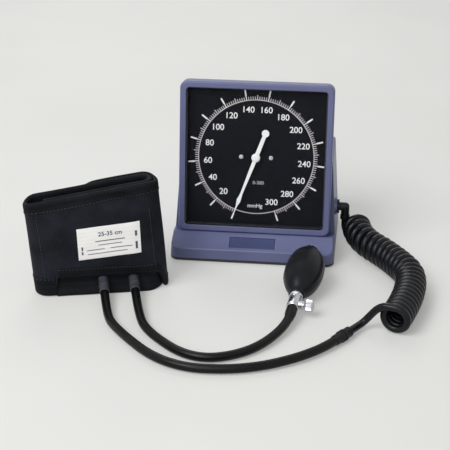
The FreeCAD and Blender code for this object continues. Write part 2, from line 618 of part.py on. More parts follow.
def make_capsule():
    """Pressure capsule of two ribbed discs, hollow, with its stud, push pin and air pipe."""
    body = new_body("Capsule")
    profile = sketch(body, role="XZ_Plane")
    ribs = [(0.18, 0.0), (0.27, 0.16), (0.41, 0.04), (0.55, 0.22), (0.68, 0.10), (0.82, 0.30), (1.0, 0.40)]
    front = [("0", "-capsule_front")]
    front += [(f"{r} * capsule_radius", f"-capsule_front - {d} * capsule_thick") for r, d in ribs]
    back = [(f"{r} * capsule_radius", f"-capsule_front - {1 - d} * capsule_thick") for r, d in reversed(ribs)]
    back += [("0", "-capsule_front - capsule_thick")]
    inside = [(0.0, 0.74), (0.55, 0.66), (0.9, 0.54), (0.9, 0.46), (0.55, 0.34), (0.0, 0.26)]
    hollow = [(f"{r} * capsule_radius", f"-capsule_front - {d} * capsule_thick") for r, d in inside]
    outline(profile, front + back + hollow)
    revolve(body, profile)
    keep("capsule", body, HEAD * Placement(Vector(0, val("capsule_row"), 0), Rotation()))

    floor = "bezel_skirt + flange_thick + tub_depth - tub_wall"
    pillar = rod("stud_radius", f"{floor} - capsule_front - capsule_thick", "0", "capsule_row", f"-({floor})")
    nipple = rod("pipe_radius + 0.6", "nipple_length", "0", "capsule_row", "-pipe_level", "x")
    keep("capsule_stud", fuse([pillar, nipple], "CapsuleStud"), HEAD)

    crown = "rocker_level + 0.8 + rocker_gap"
    foot = rod("pin_foot", "fit_gap", "0", "capsule_row", "-capsule_front")
    stem = rod("pin_radius", f"capsule_front - ({crown}) - pin_radius", "0", "capsule_row", "-capsule_front")
    dome = ball("pin_radius", "0", "capsule_row", f"-({crown}) - pin_radius")
    dome.Angle1 = 0
    keep("capsule_pin", fuse([foot, stem, dome], "CapsulePin"), HEAD)

    row, level = val("capsule_row"), -val("pipe_level")
    port_row, port_level = val("pipe_port_row"), -val("pipe_port_level")
    route = [Vector(val("nipple_length"), row, level), Vector(val("nipple_length + pipe_run"), row, level),
             Vector(val("tub_width / 2 - pipe_turn"), port_row, port_level),
             Vector(val("pipe_end"), port_row, port_level)]
    edges, _ = rounded_route(route, 0.3)
    pipe = tube(edges, val("pipe_radius")).cut(tube(edges, val("pipe_bore")))
    keep("inlet_pipe", feature(pipe, "InletPipe"), HEAD)


def make_pointer():
    """White pointer with a round tail, at the zero of the scale, and the cap on its hub."""
    body = new_body("Pointer")
    blade = sketch(body, "pointer_level")
    outline(blade, [("-pointer_tail", "-pointer_half"), ("0.6 * pointer_reach", "-0.6 * pointer_half"),
                    ("0.73 * pointer_reach", "-pointer_half"), ("0.82 * pointer_reach", "-0.35 * pointer_half"),
                    ("pointer_reach", "-0.2 * pointer_half"), ("pointer_reach", "0.2 * pointer_half"),
                    ("0.82 * pointer_reach", "0.35 * pointer_half"), ("0.73 * pointer_reach", "pointer_half"),
                    ("0.6 * pointer_reach", "0.6 * pointer_half"), ("-pointer_tail", "pointer_half")])
    pad(body, blade, "pointer_thick")
    for radius, x in (("pointer_disc", "-pointer_tail"), ("pointer_hub", "0")):
        round_end = sketch(body, "pointer_level")
        circle(round_end, radius, x)
        pad(body, round_end, "pointer_thick")
    bore = sketch(body, "pointer_level")
    circle(bore, "arbor_radius")
    pocket(body, bore, "2 * pointer_thick", reverse=True)
    # The scale's zero stands 20 degrees to the left of straight down.
    aim = Placement(Vector(), Rotation(Vector(0, 0, 1), val("pointer_rest")))
    keep("pointer", body, HEAD * aim)

    cap_bottom = "pointer_level + pointer_thick"
    cap = rod("pointer_hub - 0.4", "pointer_cap_height", "0", "0", cap_bottom)
    socket = rod("arbor_radius", f"arbor_front - ({cap_bottom})", "0", "0", cap_bottom)
    keep("pointer_cap", cut(cap, [socket], "PointerCap"), HEAD)


def rounded_route(points, share=0.45):
    """Straight runs joined by tangent arcs, each arc taking a share of the shorter run beside its corner."""
    edges = []
    radii = []
    here = points[0]
    for before, corner, after in zip(points, points[1:], points[2:]):
        into, away = corner - before, after - corner
        turn = into.getAngle(away)
        reach = share * min(into.Length, away.Length)
        radius = reach / math.tan(turn / 2)
        into.normalize()
        away.normalize()
        first, last = corner - into * reach, corner + away * reach
        inward = away - into
        inward.normalize()
        middle = corner + inward * (radius / math.cos(turn / 2) - radius)
        edges.append(Part.LineSegment(here, first).toShape())
        edges.append(Part.Arc(first, middle, last).toShape())
        radii.append(radius)
        here = last
    edges.append(Part.LineSegment(here, points[-1]).toShape())
    return edges, radii


def tube(edges, radius):
    """A round tube of one radius along edges that run on from each other."""
    start = edges[0]
    here = start.valueAt(start.FirstParameter)
    way = start.tangentAt(start.FirstParameter)
    ring = Part.Wire(Part.makeCircle(radius, here, way))
    shell = Part.BRepOffsetAPI.MakePipeShell(Part.Wire(edges))
    shell.add(ring)
    shell.build()
    shell.makeSolid()
    return shell.shape()


def make_stand():
    """Stand with a sloping front lip, a leaning panel behind the gauge, and a cuff basket open at the top."""
    body = new_body("StandShell")
    side = sketch(body, role="YZ_Plane")
    outline(side, [("base_front", "stand_bottom"), ("base_rear", "stand_bottom"), ("rear_top", "cheek_top"),
                   ("panel_top_y", "cheek_top"), ("ledge_back_y", "ledge_back_z"),
                   ("ledge_front_y", "ledge_front_z"), ("base_front", "skirt_top")])
    pad(body, side, "base_width", both=True)
    flanks = sketch(body, role="XZ_Plane")
    lean = "(base_width - top_width) / 2 / (cheek_top - stand_bottom)"
    for way in ("", "-"):
        outline(flanks, [(f"{way}(base_width / 2)", "stand_bottom"), (f"{way}(base_width)", "stand_bottom"),
                         (f"{way}(base_width)", "cheek_top + 9"),
                         (f"{way}(top_width / 2 - 9 * {lean})", "cheek_top + 9")])
    pocket(body, flanks, "8 * base_rear", both=True)

    def corner_edge(edge):
        box = edge.BoundBox
        rear = box.YMin > val("rear_top") - 1 and box.ZLength > 40
        front = box.YMax < val("base_front") + 0.1 and 5 < box.ZLength < 40
        return rear or front

    fillet(body, corner_edge, "stand_corner")

    def lip_edge(edge):
        box = edge.BoundBox
        level = abs(box.ZMin - val("skirt_top")) < 0.1 and abs(box.ZMax - val("skirt_top")) < 0.1
        return level and box.YMax < val("base_front") + val("stand_corner") + 1

    fillet(body, lip_edge, "stand_round")

    inner_low = f"base_width / 2 - (basket_floor - stand_bottom) * {lean} - stand_wall"
    inner_top = "top_width / 2 - stand_wall"
    basket = body.newObject("PartDesign::SubtractiveLoft", "Basket")
    sections = []
    for level, half, front, rear in (("basket_floor", inner_low, "panel_low_y + panel_depth", "base_rear - stand_wall"),
                                     ("cheek_top", inner_top, "panel_top_y + panel_depth", "rear_top - stand_wall")):
        section = sketch(body, level)
        outline(section, [(f"-({half})", front), (half, front), (half, rear), (f"-({half})", rear)])
        sections.append(section)
    doc.recompute()
    basket.Profile = sections[0]
    basket.Sections = [sections[1]]
    body.Tip = basket
    doc.recompute()

    hollow = sketch(body, role="YZ_Plane")
    outline(hollow, [("base_front + stand_wall", "stand_bottom"), ("panel_low_y - stand_wall", "stand_bottom"),
                     ("panel_low_y - stand_wall", "ledge_back_z - 1.4 * stand_wall"),
                     ("ledge_front_y", "ledge_front_z - 1.2 * stand_wall"),
                     ("base_front + stand_wall", "skirt_top - stand_wall / 2")])
    pocket(body, hollow, "base_width - 5 * stand_wall", both=True)

    half_notch = "tub_width / 2 + notch_gap"
    notch_top = "cheek_top + 5 - notch_floor"
    front_wall = "stand_wall * 4 + panel_top_y - ledge_back_y"
    notch = block(f"2 * ({half_notch})", front_wall, notch_top, f"-({half_notch})", "ledge_back_y - stand_wall",
                  "notch_floor")
    slope = math.atan2(val("ledge_front_z - skirt_top"), val("ledge_front_y - base_front"))
    lip_foot = Vector(0, val("base_front"), val("skirt_top"))
    lip = Placement(lip_foot, Rotation(Vector(1, 0, 0), math.degrees(slope)))
    recess = group([block("recess_width", "recess_height", "2 * recess_depth", "-recess_width / 2", "recess_rise",
                          "-recess_depth")], "Recess")
    recess.Placement = lip
    panel_holes = group([rod("screw_hole", "3 * stand_wall", x, y, "-bezel_skirt - flange_thick - 2 * stand_wall")
                         for x, y in SCREW_SPOTS[2:]], "PanelHoles")
    panel_holes.Placement = HEAD
    feet = [(side_x + "foot_column", row) for row in ("foot_row_front", "foot_row_rear") for side_x in ("", "-")]
    foot_bosses = [rod("foot_boss", f"{row.replace('row', 'boss')} - stand_bottom", x, row, "stand_bottom")
                   for x, row in feet]
    pilots = [rod("screw_radius", "foot_screw_length", x, y, "stand_bottom - 1") for x, y in feet]
    port_boss = rod("port_boss", "port_outer - port_inner", "port_inner", "port_y", "port_z", "x")
    port_hole = rod("port_thread", "3 * port_boss", "port_inner - port_boss", "port_y", "port_z", "x")
    opened = cut(body, [notch])
    shell = cut(fuse([opened, port_boss] + foot_bosses), [recess, panel_holes, port_hole] + pilots, "Stand")
    keep("stand_shell", shell)

    plate = block("recess_width - 2 * fit_gap", "recess_height - 2 * fit_gap", "plate_inset",
                  "-recess_width / 2 + fit_gap", "recess_rise + fit_gap", "-recess_depth")
    keep("name_plate", group([plate], "NamePlate"), lip)

    base = new_body("BasePlate")
    sole = sketch(base, "mat_thick")
    outline(sole, [("-base_width / 2", "base_front"), ("base_width / 2", "base_front"),
                   ("base_width / 2", "base_rear"), ("-base_width / 2", "base_rear")])
    for x, y in feet:
        circle(sole, "screw_hole", x, y)
    pad(base, sole, "stand_bottom - mat_thick")
    fillet(base, upright(val("base_width / 2") - 0.1, val("base_width / 2") + 0.1), "stand_corner")
    keep("base_plate", base)

    mat = new_body("BaseMat")
    foot = sketch(mat)
    outline(foot, [("-base_width / 2 + mat_inset", "base_front + mat_inset"),
                   ("base_width / 2 - mat_inset", "base_front + mat_inset"),
                   ("base_width / 2 - mat_inset", "base_rear - mat_inset"),
                   ("-base_width / 2 + mat_inset", "base_rear - mat_inset")])
    for x, y in feet:
        circle(foot, "foot_screw_head + fit_gap", x, y)
    pad(mat, foot, "mat_thick")
    mat_half = val("base_width / 2 - mat_inset")
    fillet(mat, upright(mat_half - 0.1, mat_half + 0.1), "stand_corner - mat_inset")
    keep("base_mat", mat)

    screws = []
    for x, y in feet:
        head = rod("foot_screw_head", "foot_screw_height", x, y, "mat_thick - foot_screw_height")
        shank = rod("screw_radius", "foot_screw_length", x, y, "mat_thick")
        screws.append(fuse([head, shank]))
    keep("base_screws", group(screws, "BaseScrews"))


def make_port():
    """Elbow fitting through the right side wall, which turns down to the coiled hose, and its nut."""
    reach = "port_outer - port_inner + nut_thick"
    thread = rod("port_thread", reach, "port_inner - nut_thick", "port_y", "port_z", "x")
    flange = rod("port_flange", "port_flange_thick", "port_outer", "port_y", "port_z", "x")
    neck = rod("elbow_radius", "elbow_column - port_outer", "port_outer", "port_y", "port_z", "x")
    knee = ball("elbow_radius", "elbow_column", "port_y", "port_z")
    drop = rod("elbow_radius", "elbow_drop", "elbow_column", "port_y", "port_z - elbow_drop")
    ferrule = rod("ferrule_radius", "ferrule_length", "elbow_column", "port_y",
                  "port_z - elbow_drop - ferrule_length")
    socket = rod("pipe_radius", "pipe_end - port_inner + nut_thick", "port_inner - nut_thick", "port_y", "port_z", "x")
    across = rod("pipe_bore", "elbow_column - pipe_end", "pipe_end", "port_y", "port_z", "x")
    down = rod("pipe_bore", "elbow_drop + ferrule_length", "elbow_column", "port_y",
               "port_z - elbow_drop - ferrule_length")
    solid = fuse([thread, flange, neck, knee, drop, ferrule])
    keep("hose_elbow", cut(solid, [socket, across, down], "HoseElbow"))

    body = new_body("ElbowNut")
    face = sketch(body)
    corners = [(f"nut_radius * {math.cos(math.radians(60 * row)):.6f}",
                f"nut_radius * {math.sin(math.radians(60 * row)):.6f}") for row in range(6)]
    outline(face, corners)
    circle(face, "port_thread")
    pad(body, face, "nut_thick")
    keep("elbow_nut", body, Placement(Vector(val("port_inner - nut_thick"), PORT.y, PORT.z), ALONG["x"]))


def biarc(first, first_way, last, last_way):
    """Two tangent arcs from one point and heading to another."""
    span = last - first
    ways = first_way + last_way
    spread = 2 * (1 - first_way.dot(last_way))
    along = span.dot(ways)
    if spread < 1e-9:
        reach = span.dot(span) / (4 * span.dot(last_way))
    else:
        reach = (-along + math.sqrt(along * along + spread * span.dot(span))) / spread
    middle = (first + last + (first_way - last_way) * reach) * 0.5
    return [arc_from(first, first_way, middle), arc_from(last, last_way * -1, middle, backwards=True)]


def arc_from(first, way, last, backwards=False):
    """The arc that leaves a point along a heading and reaches another point."""
    chord = last - first
    length = chord.Length
    unit = chord * (1 / length)
    cosine = max(-1.0, min(1.0, unit.dot(way)))
    side = way - unit * cosine
    if side.Length < 1e-9:
        ends = (last, first) if backwards else (first, last)
        return Part.LineSegment(*ends).toShape()
    side.normalize()
    middle = first + chord * 0.5 + side * (length / 2 * math.tan(math.acos(cosine) / 2))
    ends = (last, middle, first) if backwards else (first, middle, last)
    return Part.Arc(*ends).toShape()


def coil_axis():
    """The coil's axis: a straight run, an arc, a straight run; returns its length parts and a point finder."""
    rise = val("coil_lift + coil_diameter / 2")
    winding = val("(coil_diameter - coil_tube) / 2")
    corner = Vector(val("coil_corner_x"), val("coil_corner_y"), rise)
    end = Vector(val("coil_end_x"), val("coil_end_y"), rise)
    inlet = Vector(val("elbow_column"), PORT.y, rise)
    start = inlet
    for _ in range(20):
        heading = corner - start
        heading.normalize()
        start = inlet + Vector(0, 0, 1).cross(heading) * winding + heading * val("coil_step")
    heading = corner - start
    heading.normalize()
    leaving = end - corner
    leaving.normalize()
    turn = heading.getAngle(leaving)
    radius = val("coil_bend")
    reach = radius * math.tan(turn / 2)
    first_run = (corner - start).Length - reach
    bend_run = radius * turn
    last_run = (end - corner).Length - reach
    centre = start + heading * first_run + heading.cross(Vector(0, 0, 1)) * radius

    def axis(along):
        if along <= first_run:
            return start + heading * along, heading, 0.0
        if along <= first_run + bend_run:
            angle = -(along - first_run) / radius
            spin = Rotation(Vector(0, 0, 1), math.degrees(angle))
            spoke = start + heading * first_run - centre
            return centre + spin.multVec(spoke), spin.multVec(heading), -1 / radius
        return corner + leaving * (reach + along - first_run - bend_run), leaving, 0.0

    return first_run, bend_run, last_run, winding, axis


def make_coil():
    """Coiled hose as one tube: a lead from the elbow, the curls along a bent axis, and a tail to the connector."""
    first_run, bend_run, last_run, winding, axis = coil_axis()
    squeeze = (val("coil_bend") - winding) / val("coil_bend")
    turns = val("coil_turns")
    pitch = (first_run + last_run + bend_run * squeeze) / turns
    wide = pitch / squeeze
    bend_start = first_run / pitch
    bend_end = bend_start + bend_run / wide

    def along_at(turn):
        if turn <= bend_start:
            return turn * pitch
        if turn <= bend_end:
            return first_run + (turn - bend_start) * wide
        return first_run + bend_run + (turn - bend_end) * pitch

    def curl(turn):
        """Point and heading of the tube's middle line after a number of turns, from the side next to the stand."""
        spot, heading, curve = axis(min(along_at(turn), first_run + bend_run + last_run))
        left = Vector(0, 0, 1).cross(heading)
        phase = math.pi + 2 * math.pi * turn
        rate = 2 * math.pi / (wide if curve else pitch)
        point = spot + (left * math.cos(phase) + Vector(0, 0, math.sin(phase))) * winding
        way = heading * (1 - curve * winding * math.cos(phase))
        way += (left * -math.sin(phase) + Vector(0, 0, math.cos(phase))) * (winding * rate)
        way.normalize()
        return point, way

    elbow_end = Vector(val("elbow_column"), PORT.y, PORT.z - val("elbow_drop + ferrule_length"))
    lead_end = elbow_end - Vector(0, 0, val("coil_lead"))
    stops = [(lead_end, Vector(0, 0, -1))]
    halves = int(2 * turns)
    stops += [curl(row / 2) for row in range(halves + 1)]
    if 2 * turns > halves:
        stops.append(curl(turns))
    tail_start = CONNECTOR_START - CONNECTOR_WAY * val("coil_tube")
    stops.append((tail_start, CONNECTOR_WAY))
    edges = [Part.LineSegment(elbow_end, lead_end).toShape()]
    for (first, first_way), (last, last_way) in zip(stops, stops[1:]):
        edges += biarc(first, first_way, last, last_way)
    edges.append(Part.LineSegment(tail_start, CONNECTOR_START).toShape())
    tightest = min(edge.Curve.Radius for edge in edges if hasattr(edge.Curve, "Radius"))
    solid = tube(edges, val("coil_tube / 2"))
    keep("coil_hose", feature(solid, "CoilHose"))
    report_tube("coil_hose", edges, val("coil_tube / 2"), solid, [tightest])
    step = 1.2
    spots = []
    for edge in edges:
        count = max(2, int(edge.Length / step))
        low, high = edge.FirstParameter, edge.LastParameter
        spots += [edge.valueAt(low + (high - low) * row / count) for row in range(count)]
    turn_rows = int(2 * math.pi * winding / step)
    least = min((spots[row] - spots[other]).Length for row in range(len(spots))
                for other in range(row + turn_rows // 2, min(len(spots), row + 3 * turn_rows)))
    gap = least - val("coil_tube")
    print(f"coil_hose: {turns} turns, pitch {pitch:.2f}, in the bend {wide:.2f}, least gap to itself {gap:.2f}")
    if gap <= 0.4:
        raise RuntimeError("the coil touches itself")


def report_tube(name, edges, radius, solid, radii):
    """Prints a tube's length and least radius, and compares its volume with section times length."""
    length = sum(edge.Length for edge in edges)
    expected = math.pi * radius * radius * length
    share = solid.Volume / expected
    low = solid.BoundBox.ZMin
    print(f"{name}: length {length:.1f}, least radius {min(radii):.1f}, volume share {share:.4f}, lowest {low:.2f}")
    if not solid.isValid() or abs(share - 1) > 0.01:
        raise RuntimeError(f"{name} is not a clean tube")


CUFF = Placement(Vector(val("cuff_x"), val("cuff_y"), 0), Rotation(Vector(0, 0, 1), val("cuff_turn")))
BULB_TURN = math.radians(val("bulb_heading"))
BULB_DIP = math.radians(val("bulb_dip"))
BULB_WAY = Vector(math.cos(BULB_TURN) * math.cos(BULB_DIP), math.sin(BULB_TURN) * math.cos(BULB_DIP),
                  -math.sin(BULB_DIP))
BULB_SIDE = Vector(-math.sin(BULB_TURN), math.cos(BULB_TURN), 0)
BULB = Placement(Vector(val("bulb_x"), val("bulb_y"), val("bulb_z")),
                 Rotation(BULB_SIDE, BULB_WAY.cross(BULB_SIDE), BULB_WAY, "ZXY"))
VALVE_END = "neck_end + collar_length + valve_length + valve_neck_length + valve_ferrule_length"
CONNECTOR_WAY = Vector(-0.56, -0.83, 0)
CONNECTOR_WAY.normalize()
CONNECTOR_START = Vector(110, -199, val("connector_height"))
CONNECTOR_END = CONNECTOR_START + CONNECTOR_WAY * val("connector_length")
HOSE_Z = val("hose_radius") + 0.3
CUFF_EXIT = CUFF.multVec(Vector(val("stub_cuff"), -val("stub_out"), val("stub_height")))
BULB_EXIT = CUFF.multVec(Vector(val("stub_bulb"), -val("stub_out"), val("stub_height")))
OUT_OF_CUFF = CUFF.Rotation.multVec(Vector(0, -1, 0))
VALVE_MOUTH = BULB.multVec(Vector(0, 0, val(VALVE_END)))
CUFF_HOSE = [CONNECTOR_END, CONNECTOR_END + CONNECTOR_WAY * 36, Vector(12, -283, HOSE_Z),
             Vector(-58, -267, HOSE_Z), Vector(-107, -213, HOSE_Z),
             CUFF_EXIT + OUT_OF_CUFF * 36 + Vector(0, 0, HOSE_Z - val("stub_height")), CUFF_EXIT]
BULB_HOSE = [VALVE_MOUTH, VALVE_MOUTH + BULB_WAY * 36, Vector(26, -256, HOSE_Z), Vector(-34, -262, HOSE_Z),
             Vector(-76, -214, HOSE_Z),
             BULB_EXIT + OUT_OF_CUFF * 38 + Vector(0, 0, HOSE_Z - val("stub_height")), BULB_EXIT]


def make_hoses():
    """Plain hoses from the connector to the cuff and from the valve to the cuff, and the two-part connector."""
    for name, route in (("cuff_hose", CUFF_HOSE), ("bulb_hose", BULB_HOSE)):
        edges, radii = rounded_route(route)
        solid = tube(edges, val("hose_radius"))
        keep(name, feature(solid, name.title().replace("_", "")))
        report_tube(name, edges, val("hose_radius"), solid, radii)
    along = Placement(CONNECTOR_START, Rotation(Vector(0, 0, 1), CONNECTOR_WAY))
    sleeve = rod("connector_radius - 0.8", "connector_step + 1", "0", "0", "0")
    grip = rod("connector_radius", "connector_length / 2 - connector_step", "0", "0", "connector_step")
    keep("connector_socket", fuse([sleeve, grip], "ConnectorSocket"), along)
    half = "connector_length / 2"
    plug_grip = rod("connector_radius", f"{half} - connector_step", "0", "0", half)
    plug = rod("connector_radius - 0.8", "connector_step", "0", "0", "connector_length - connector_step")
    keep("connector_plug", fuse([plug_grip, plug], "ConnectorPlug"), along)


def make_bulb():
    """Hollow rubber bulb with a neck at each end."""
    outer = doc.addObject("Part::Ellipsoid", "BulbOuter")
    inner = doc.addObject("Part::Ellipsoid", "BulbInner")
    for item, less in ((outer, "0"), (inner, "bulb_wall")):
        bind(item, {"Radius1": f"bulb_half - {less}", "Radius2": f"bulb_radius - {less}",
                    "Radius3": f"bulb_radius - {less}"})
    middle = rod("2 * bulb_radius", "2 * bulb_cut", "0", "0", "-bulb_cut")
    trimmed = doc.addObject("Part::MultiCommon", "BulbTrimmed")
    trimmed.Shapes = [outer, middle]
    necks = [rod("neck_radius", "neck_end - neck_start", "0", "0", start) for start in ("neck_start", "-neck_end")]
    skin = fuse([trimmed] + necks)
    bores = [rod("neck_bore", "neck_end", "0", "0", start) for start in ("0", "-neck_end")]
    keep("bulb", cut(skin, [inner] + bores, "Bulb"), BULB)


def make_valves():
    """Chrome release valve with its thumb screw, the intake valve at the far end, and the balls in both."""
    collar_start = "neck_end"
    body_start = f"{collar_start} + collar_length"
    neck_start = f"{body_start} + valve_length"
    ferrule_start = f"{neck_start} + valve_neck_length"
    solids = [rod("neck_bore", "neck_end - spigot_start", "0", "0", "spigot_start"),
              rod("collar_radius", "collar_length", "0", "0", collar_start),
              rod("valve_radius", "valve_length", "0", "0", body_start),
              rod("valve_neck", "valve_neck_length", "0", "0", neck_start),
              rod("valve_ferrule", "valve_ferrule_length", "0", "0", ferrule_start),
              rod("branch_radius", "branch_end", "0", "0", "branch_level", "x")]
    bores = [rod("air_bore", f"{VALVE_END} - spigot_start", "0", "0", "spigot_start"),
             rod("stem_radius + running_gap", "branch_end", "0", "0", "branch_level", "x"),
             rod("cup_bore", "cup_depth", "0", "0", "spigot_start + seat_bore")]
    seat = cut(rod("neck_bore - 1", "seat_bore", "0", "0", "spigot_start"),
               [rod("seat_bore", "3 * seat_bore", "0", "0", "spigot_start - seat_bore")])
    keep("valve_body", fuse([cut(fuse(solids), bores), seat], "ValveBody"), BULB)

    screw = new_body("ValveScrew")
    head = sketch(screw, "knob_start")
    circle(head, "knob_radius")
    pad(screw, head, "knob_length")
    groove = sketch(screw, "knob_start")
    circle(groove, "notch_radius", "knob_radius")
    cutter = pocket(screw, groove, "knob_length", reverse=True)
    pattern = screw.newObject("PartDesign::PolarPattern", "Knurl")
    pattern.Originals = [cutter]
    pattern.Axis = (groove, ["N_Axis"])
    pattern.Angle = 360
    bind(pattern, {"Occurrences": "knob_notches"})
    screw.Tip = pattern
    doc.recompute()
    stem = sketch(screw, "stem_start")
    circle(stem, "stem_radius")
    pad(screw, stem, "knob_start - stem_start")
    branch = Placement(Vector(0, 0, val("branch_level")), ALONG["x"])
    keep("valve_screw", screw, BULB * branch)

    flange = rod("end_flange", "end_flange_thick", "0", "0", "-neck_end - end_flange_thick")
    spigot = rod("neck_bore", "neck_end - spigot_start", "0", "0", "-neck_end")
    cup = rod("cup_bore", "neck_end - spigot_start", "0", "0", "-neck_end + seat_bore")
    inlet = rod("seat_bore", "3 * end_flange_thick", "0", "0", "-neck_end - 1.5 * end_flange_thick")
    keep("intake_valve", cut(fuse([flange, spigot]), [cup, inlet], "IntakeValve"), BULB)
    ring = rod("cup_bore", "stop_thick", "0", "0", "-spigot_start - stop_thick")
    ring_hole = rod("air_bore", "3 * stop_thick", "0", "0", "-spigot_start - 2 * stop_thick")
    keep("intake_stop", cut(ring, [ring_hole], "IntakeStop"), BULB)
    keep("intake_ball", group([ball("ball_radius", "0", "0", f"-neck_end + seat_bore + {seat_height()}")],
                              "IntakeBall"), BULB)
    keep("outlet_ball", group([ball("ball_radius", "0", "0", f"spigot_start + seat_bore + {seat_height()}")],
                              "OutletBall"), BULB)


def seat_height():
    """Height of a ball's centre above its seat ring, with a film of clearance."""
    return math.sqrt(val("ball_radius") ** 2 - val("seat_bore") ** 2) + 0.02


def make_cuff():
    """Rolled cuff as one spiral band with a bladder pocket, its bladder with two hose stubs, label and hook tape."""
    length, thick = val("cuff_length"), val("cuff_thick")
    layer, pitch = val("cuff_layer"), val("cuff_pitch")
    flap, end = val("cuff_flap_start"), val("cuff_inner_end")
    bend = thick / 2
    left, right = bend, length - bend

    def band_side(inset):
        """One face of the band: two flat turns round the two ends, a little smaller each time."""
        points = [(flap, thick - inset), (right, thick - inset), (right + bend - inset, bend), (right, inset),
                  (left, inset), (left - bend + pitch / 2 + inset, bend - pitch / 2), (left, thick - pitch - inset),
                  (right, thick - pitch - inset), (right + bend - pitch - inset, bend), (right, pitch + inset),
                  (end, pitch + inset)]
        spots = [Vector(u, w, 0) for u, w in points]
        edges = [Part.LineSegment(spots[0], spots[1]), Part.Arc(*spots[1:4]), Part.LineSegment(spots[3], spots[4]),
                 Part.Arc(*spots[4:7]), Part.LineSegment(spots[6], spots[7]), Part.Arc(*spots[7:10]),
                 Part.LineSegment(spots[9], spots[10])]
        return [edge.toShape() for edge in edges], spots[0], spots[-1]

    outside, outer_start, outer_end = band_side(0)
    inside, inner_start, inner_end = band_side(layer)
    closing = [Part.LineSegment(outer_start, inner_start).toShape(), Part.LineSegment(outer_end, inner_end).toShape()]
    wire = Part.Wire(Part.__sortEdges__(outside + inside + closing))
    tall = val("cuff_height_right") + 20
    band = Part.Face(wire).extrude(Vector(-val("cuff_lean") * tall, 0, tall))
    rise = val("cuff_height_right - cuff_height_left") / length
    low, high = val("cuff_height_left") - 9 * rise, val("cuff_height_right") + 9 * rise
    above = [Vector(-9, -9, low), Vector(length + 9, -9, high), Vector(length + 9, -9, tall + 9),
             Vector(-9, -9, tall + 9)]
    slant = Part.Face(Part.makePolygon(above + above[:1])).extrude(Vector(0, thick + 18, 0))
    hem = Part.makeBox(length, 9 + (layer + pitch) / 2, 9 + val("cuff_hem"), Vector(end + 2, -9, -9))
    pocket_box = Part.makeBox(val("bladder_right - bladder_left"), val("bladder_thick"),
                              val("bladder_top - cuff_hem") + 9,
                              Vector(val("bladder_left"), val("bladder_front"), val("cuff_hem") - 9))
    band = band.cut(slant).cut(hem).cut(pocket_box)
    keep("cuff_wrap", feature(band, "CuffWrap"), CUFF)

    slab = block("bladder_right - bladder_left - 2 * fit_gap", "bladder_thick", "bladder_top - cuff_hem - fit_gap",
                 "bladder_left + fit_gap", "bladder_front", "cuff_hem")
    pieces = [slab]
    back_to_cuff = CUFF.inverse()
    for stub, route in (("stub_cuff", CUFF_HOSE), ("stub_bulb", BULB_HOSE)):
        pieces.append(block("8", "bladder_thick", "cuff_hem - stub_height", f"{stub} - 4", "bladder_front",
                            "stub_height"))
        way = back_to_cuff.Rotation.multVec(route[-1] - route[-2])
        stem = doc.addObject("Part::Cylinder", "Stub")
        bind(stem, {"Radius": "hose_radius", "Height": "stub_length"})
        stem.Placement = Placement(back_to_cuff.multVec(route[-1]), Rotation(Vector(0, 0, 1), way))
        pieces.append(stem)
    keep("cuff_bladder", fuse(pieces, "CuffBladder"), CUFF)

    card = block("label_width", "label_thick", "label_height", "-label_width / 2", "-label_thick", "-label_height / 2")
    spot = Placement(Vector(val("label_centre"), 0, val("label_level")),
                     Rotation(Vector(0, -1, 0), val("label_slope")))
    keep("cuff_label", group([card], "CuffLabel"), CUFF * spot)
    tape = block("tape_right - tape_left", "tape_thick", "tape_top - tape_low", "tape_left",
                 "cuff_thick - cuff_layer - tape_thick", "tape_low")
    keep("hook_tape", group([tape], "HookTape"), CUFF)


make_bezel()
make_window_stack()
make_rear_case()
make_gears()
make_plates(make_hairspring())
make_rocker()
make_capsule()
make_pointer()
make_stand()
make_port()
make_coil()
make_hoses()
make_bulb()
make_valves()
make_cuff()
doc.recompute()

os.makedirs("parts", exist_ok=True)
for item in doc.Objects:
    if "Invalid" in item.State or "Error" in item.State:
        raise RuntimeError(f"{item.Label} did not compute: {item.State}")
for name, item in nodes.items():
    shape = item.Shape
    if shape.isNull() or not shape.isValid() or not shape.Solids:
        raise RuntimeError(f"{name} has no valid solid")
    shape.exportStep(f"parts/{name}.step")
    box = shape.BoundBox
    print(f"{name}: {len(shape.Solids)} solids, volume {shape.Volume:.1f}, "
          f"x {box.XMin:.1f} to {box.XMax:.1f}, y {box.YMin:.1f} to {box.YMax:.1f}, z {box.ZMin:.1f} to {box.ZMax:.1f}")
print(f"dial centre {DIAL_CENTRE}, port {PORT}, gear centres {GEAR_CENTRES}, rocker row {ROCKER_Y}")
print(f"valve mouth {VALVE_MOUTH}, cuff exit {CUFF_EXIT}, bulb exit {BULB_EXIT}, connector end {CONNECTOR_END}")
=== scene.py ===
"""Looks of a desk-type aneroid sphygmomanometer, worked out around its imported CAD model.

Shapes are worked out in millimetres, each in the own axes of the head, the bulb, the cuff or the connector, and put
into metres in the model's frame when a mesh is made.
"""
import math

import bmesh
import bpy
import numpy as np
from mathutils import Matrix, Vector


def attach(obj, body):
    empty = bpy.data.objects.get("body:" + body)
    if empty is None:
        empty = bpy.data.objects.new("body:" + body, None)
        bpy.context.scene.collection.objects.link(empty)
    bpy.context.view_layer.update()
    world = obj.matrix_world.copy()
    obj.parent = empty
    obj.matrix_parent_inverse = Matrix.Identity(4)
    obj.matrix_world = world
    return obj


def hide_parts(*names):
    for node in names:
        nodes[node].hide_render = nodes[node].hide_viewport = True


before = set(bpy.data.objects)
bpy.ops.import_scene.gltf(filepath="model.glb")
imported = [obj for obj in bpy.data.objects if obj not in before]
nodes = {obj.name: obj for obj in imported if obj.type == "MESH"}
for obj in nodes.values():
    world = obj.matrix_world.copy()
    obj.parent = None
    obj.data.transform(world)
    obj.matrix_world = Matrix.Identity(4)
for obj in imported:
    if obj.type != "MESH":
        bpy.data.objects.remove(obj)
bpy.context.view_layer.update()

MM = 0.001
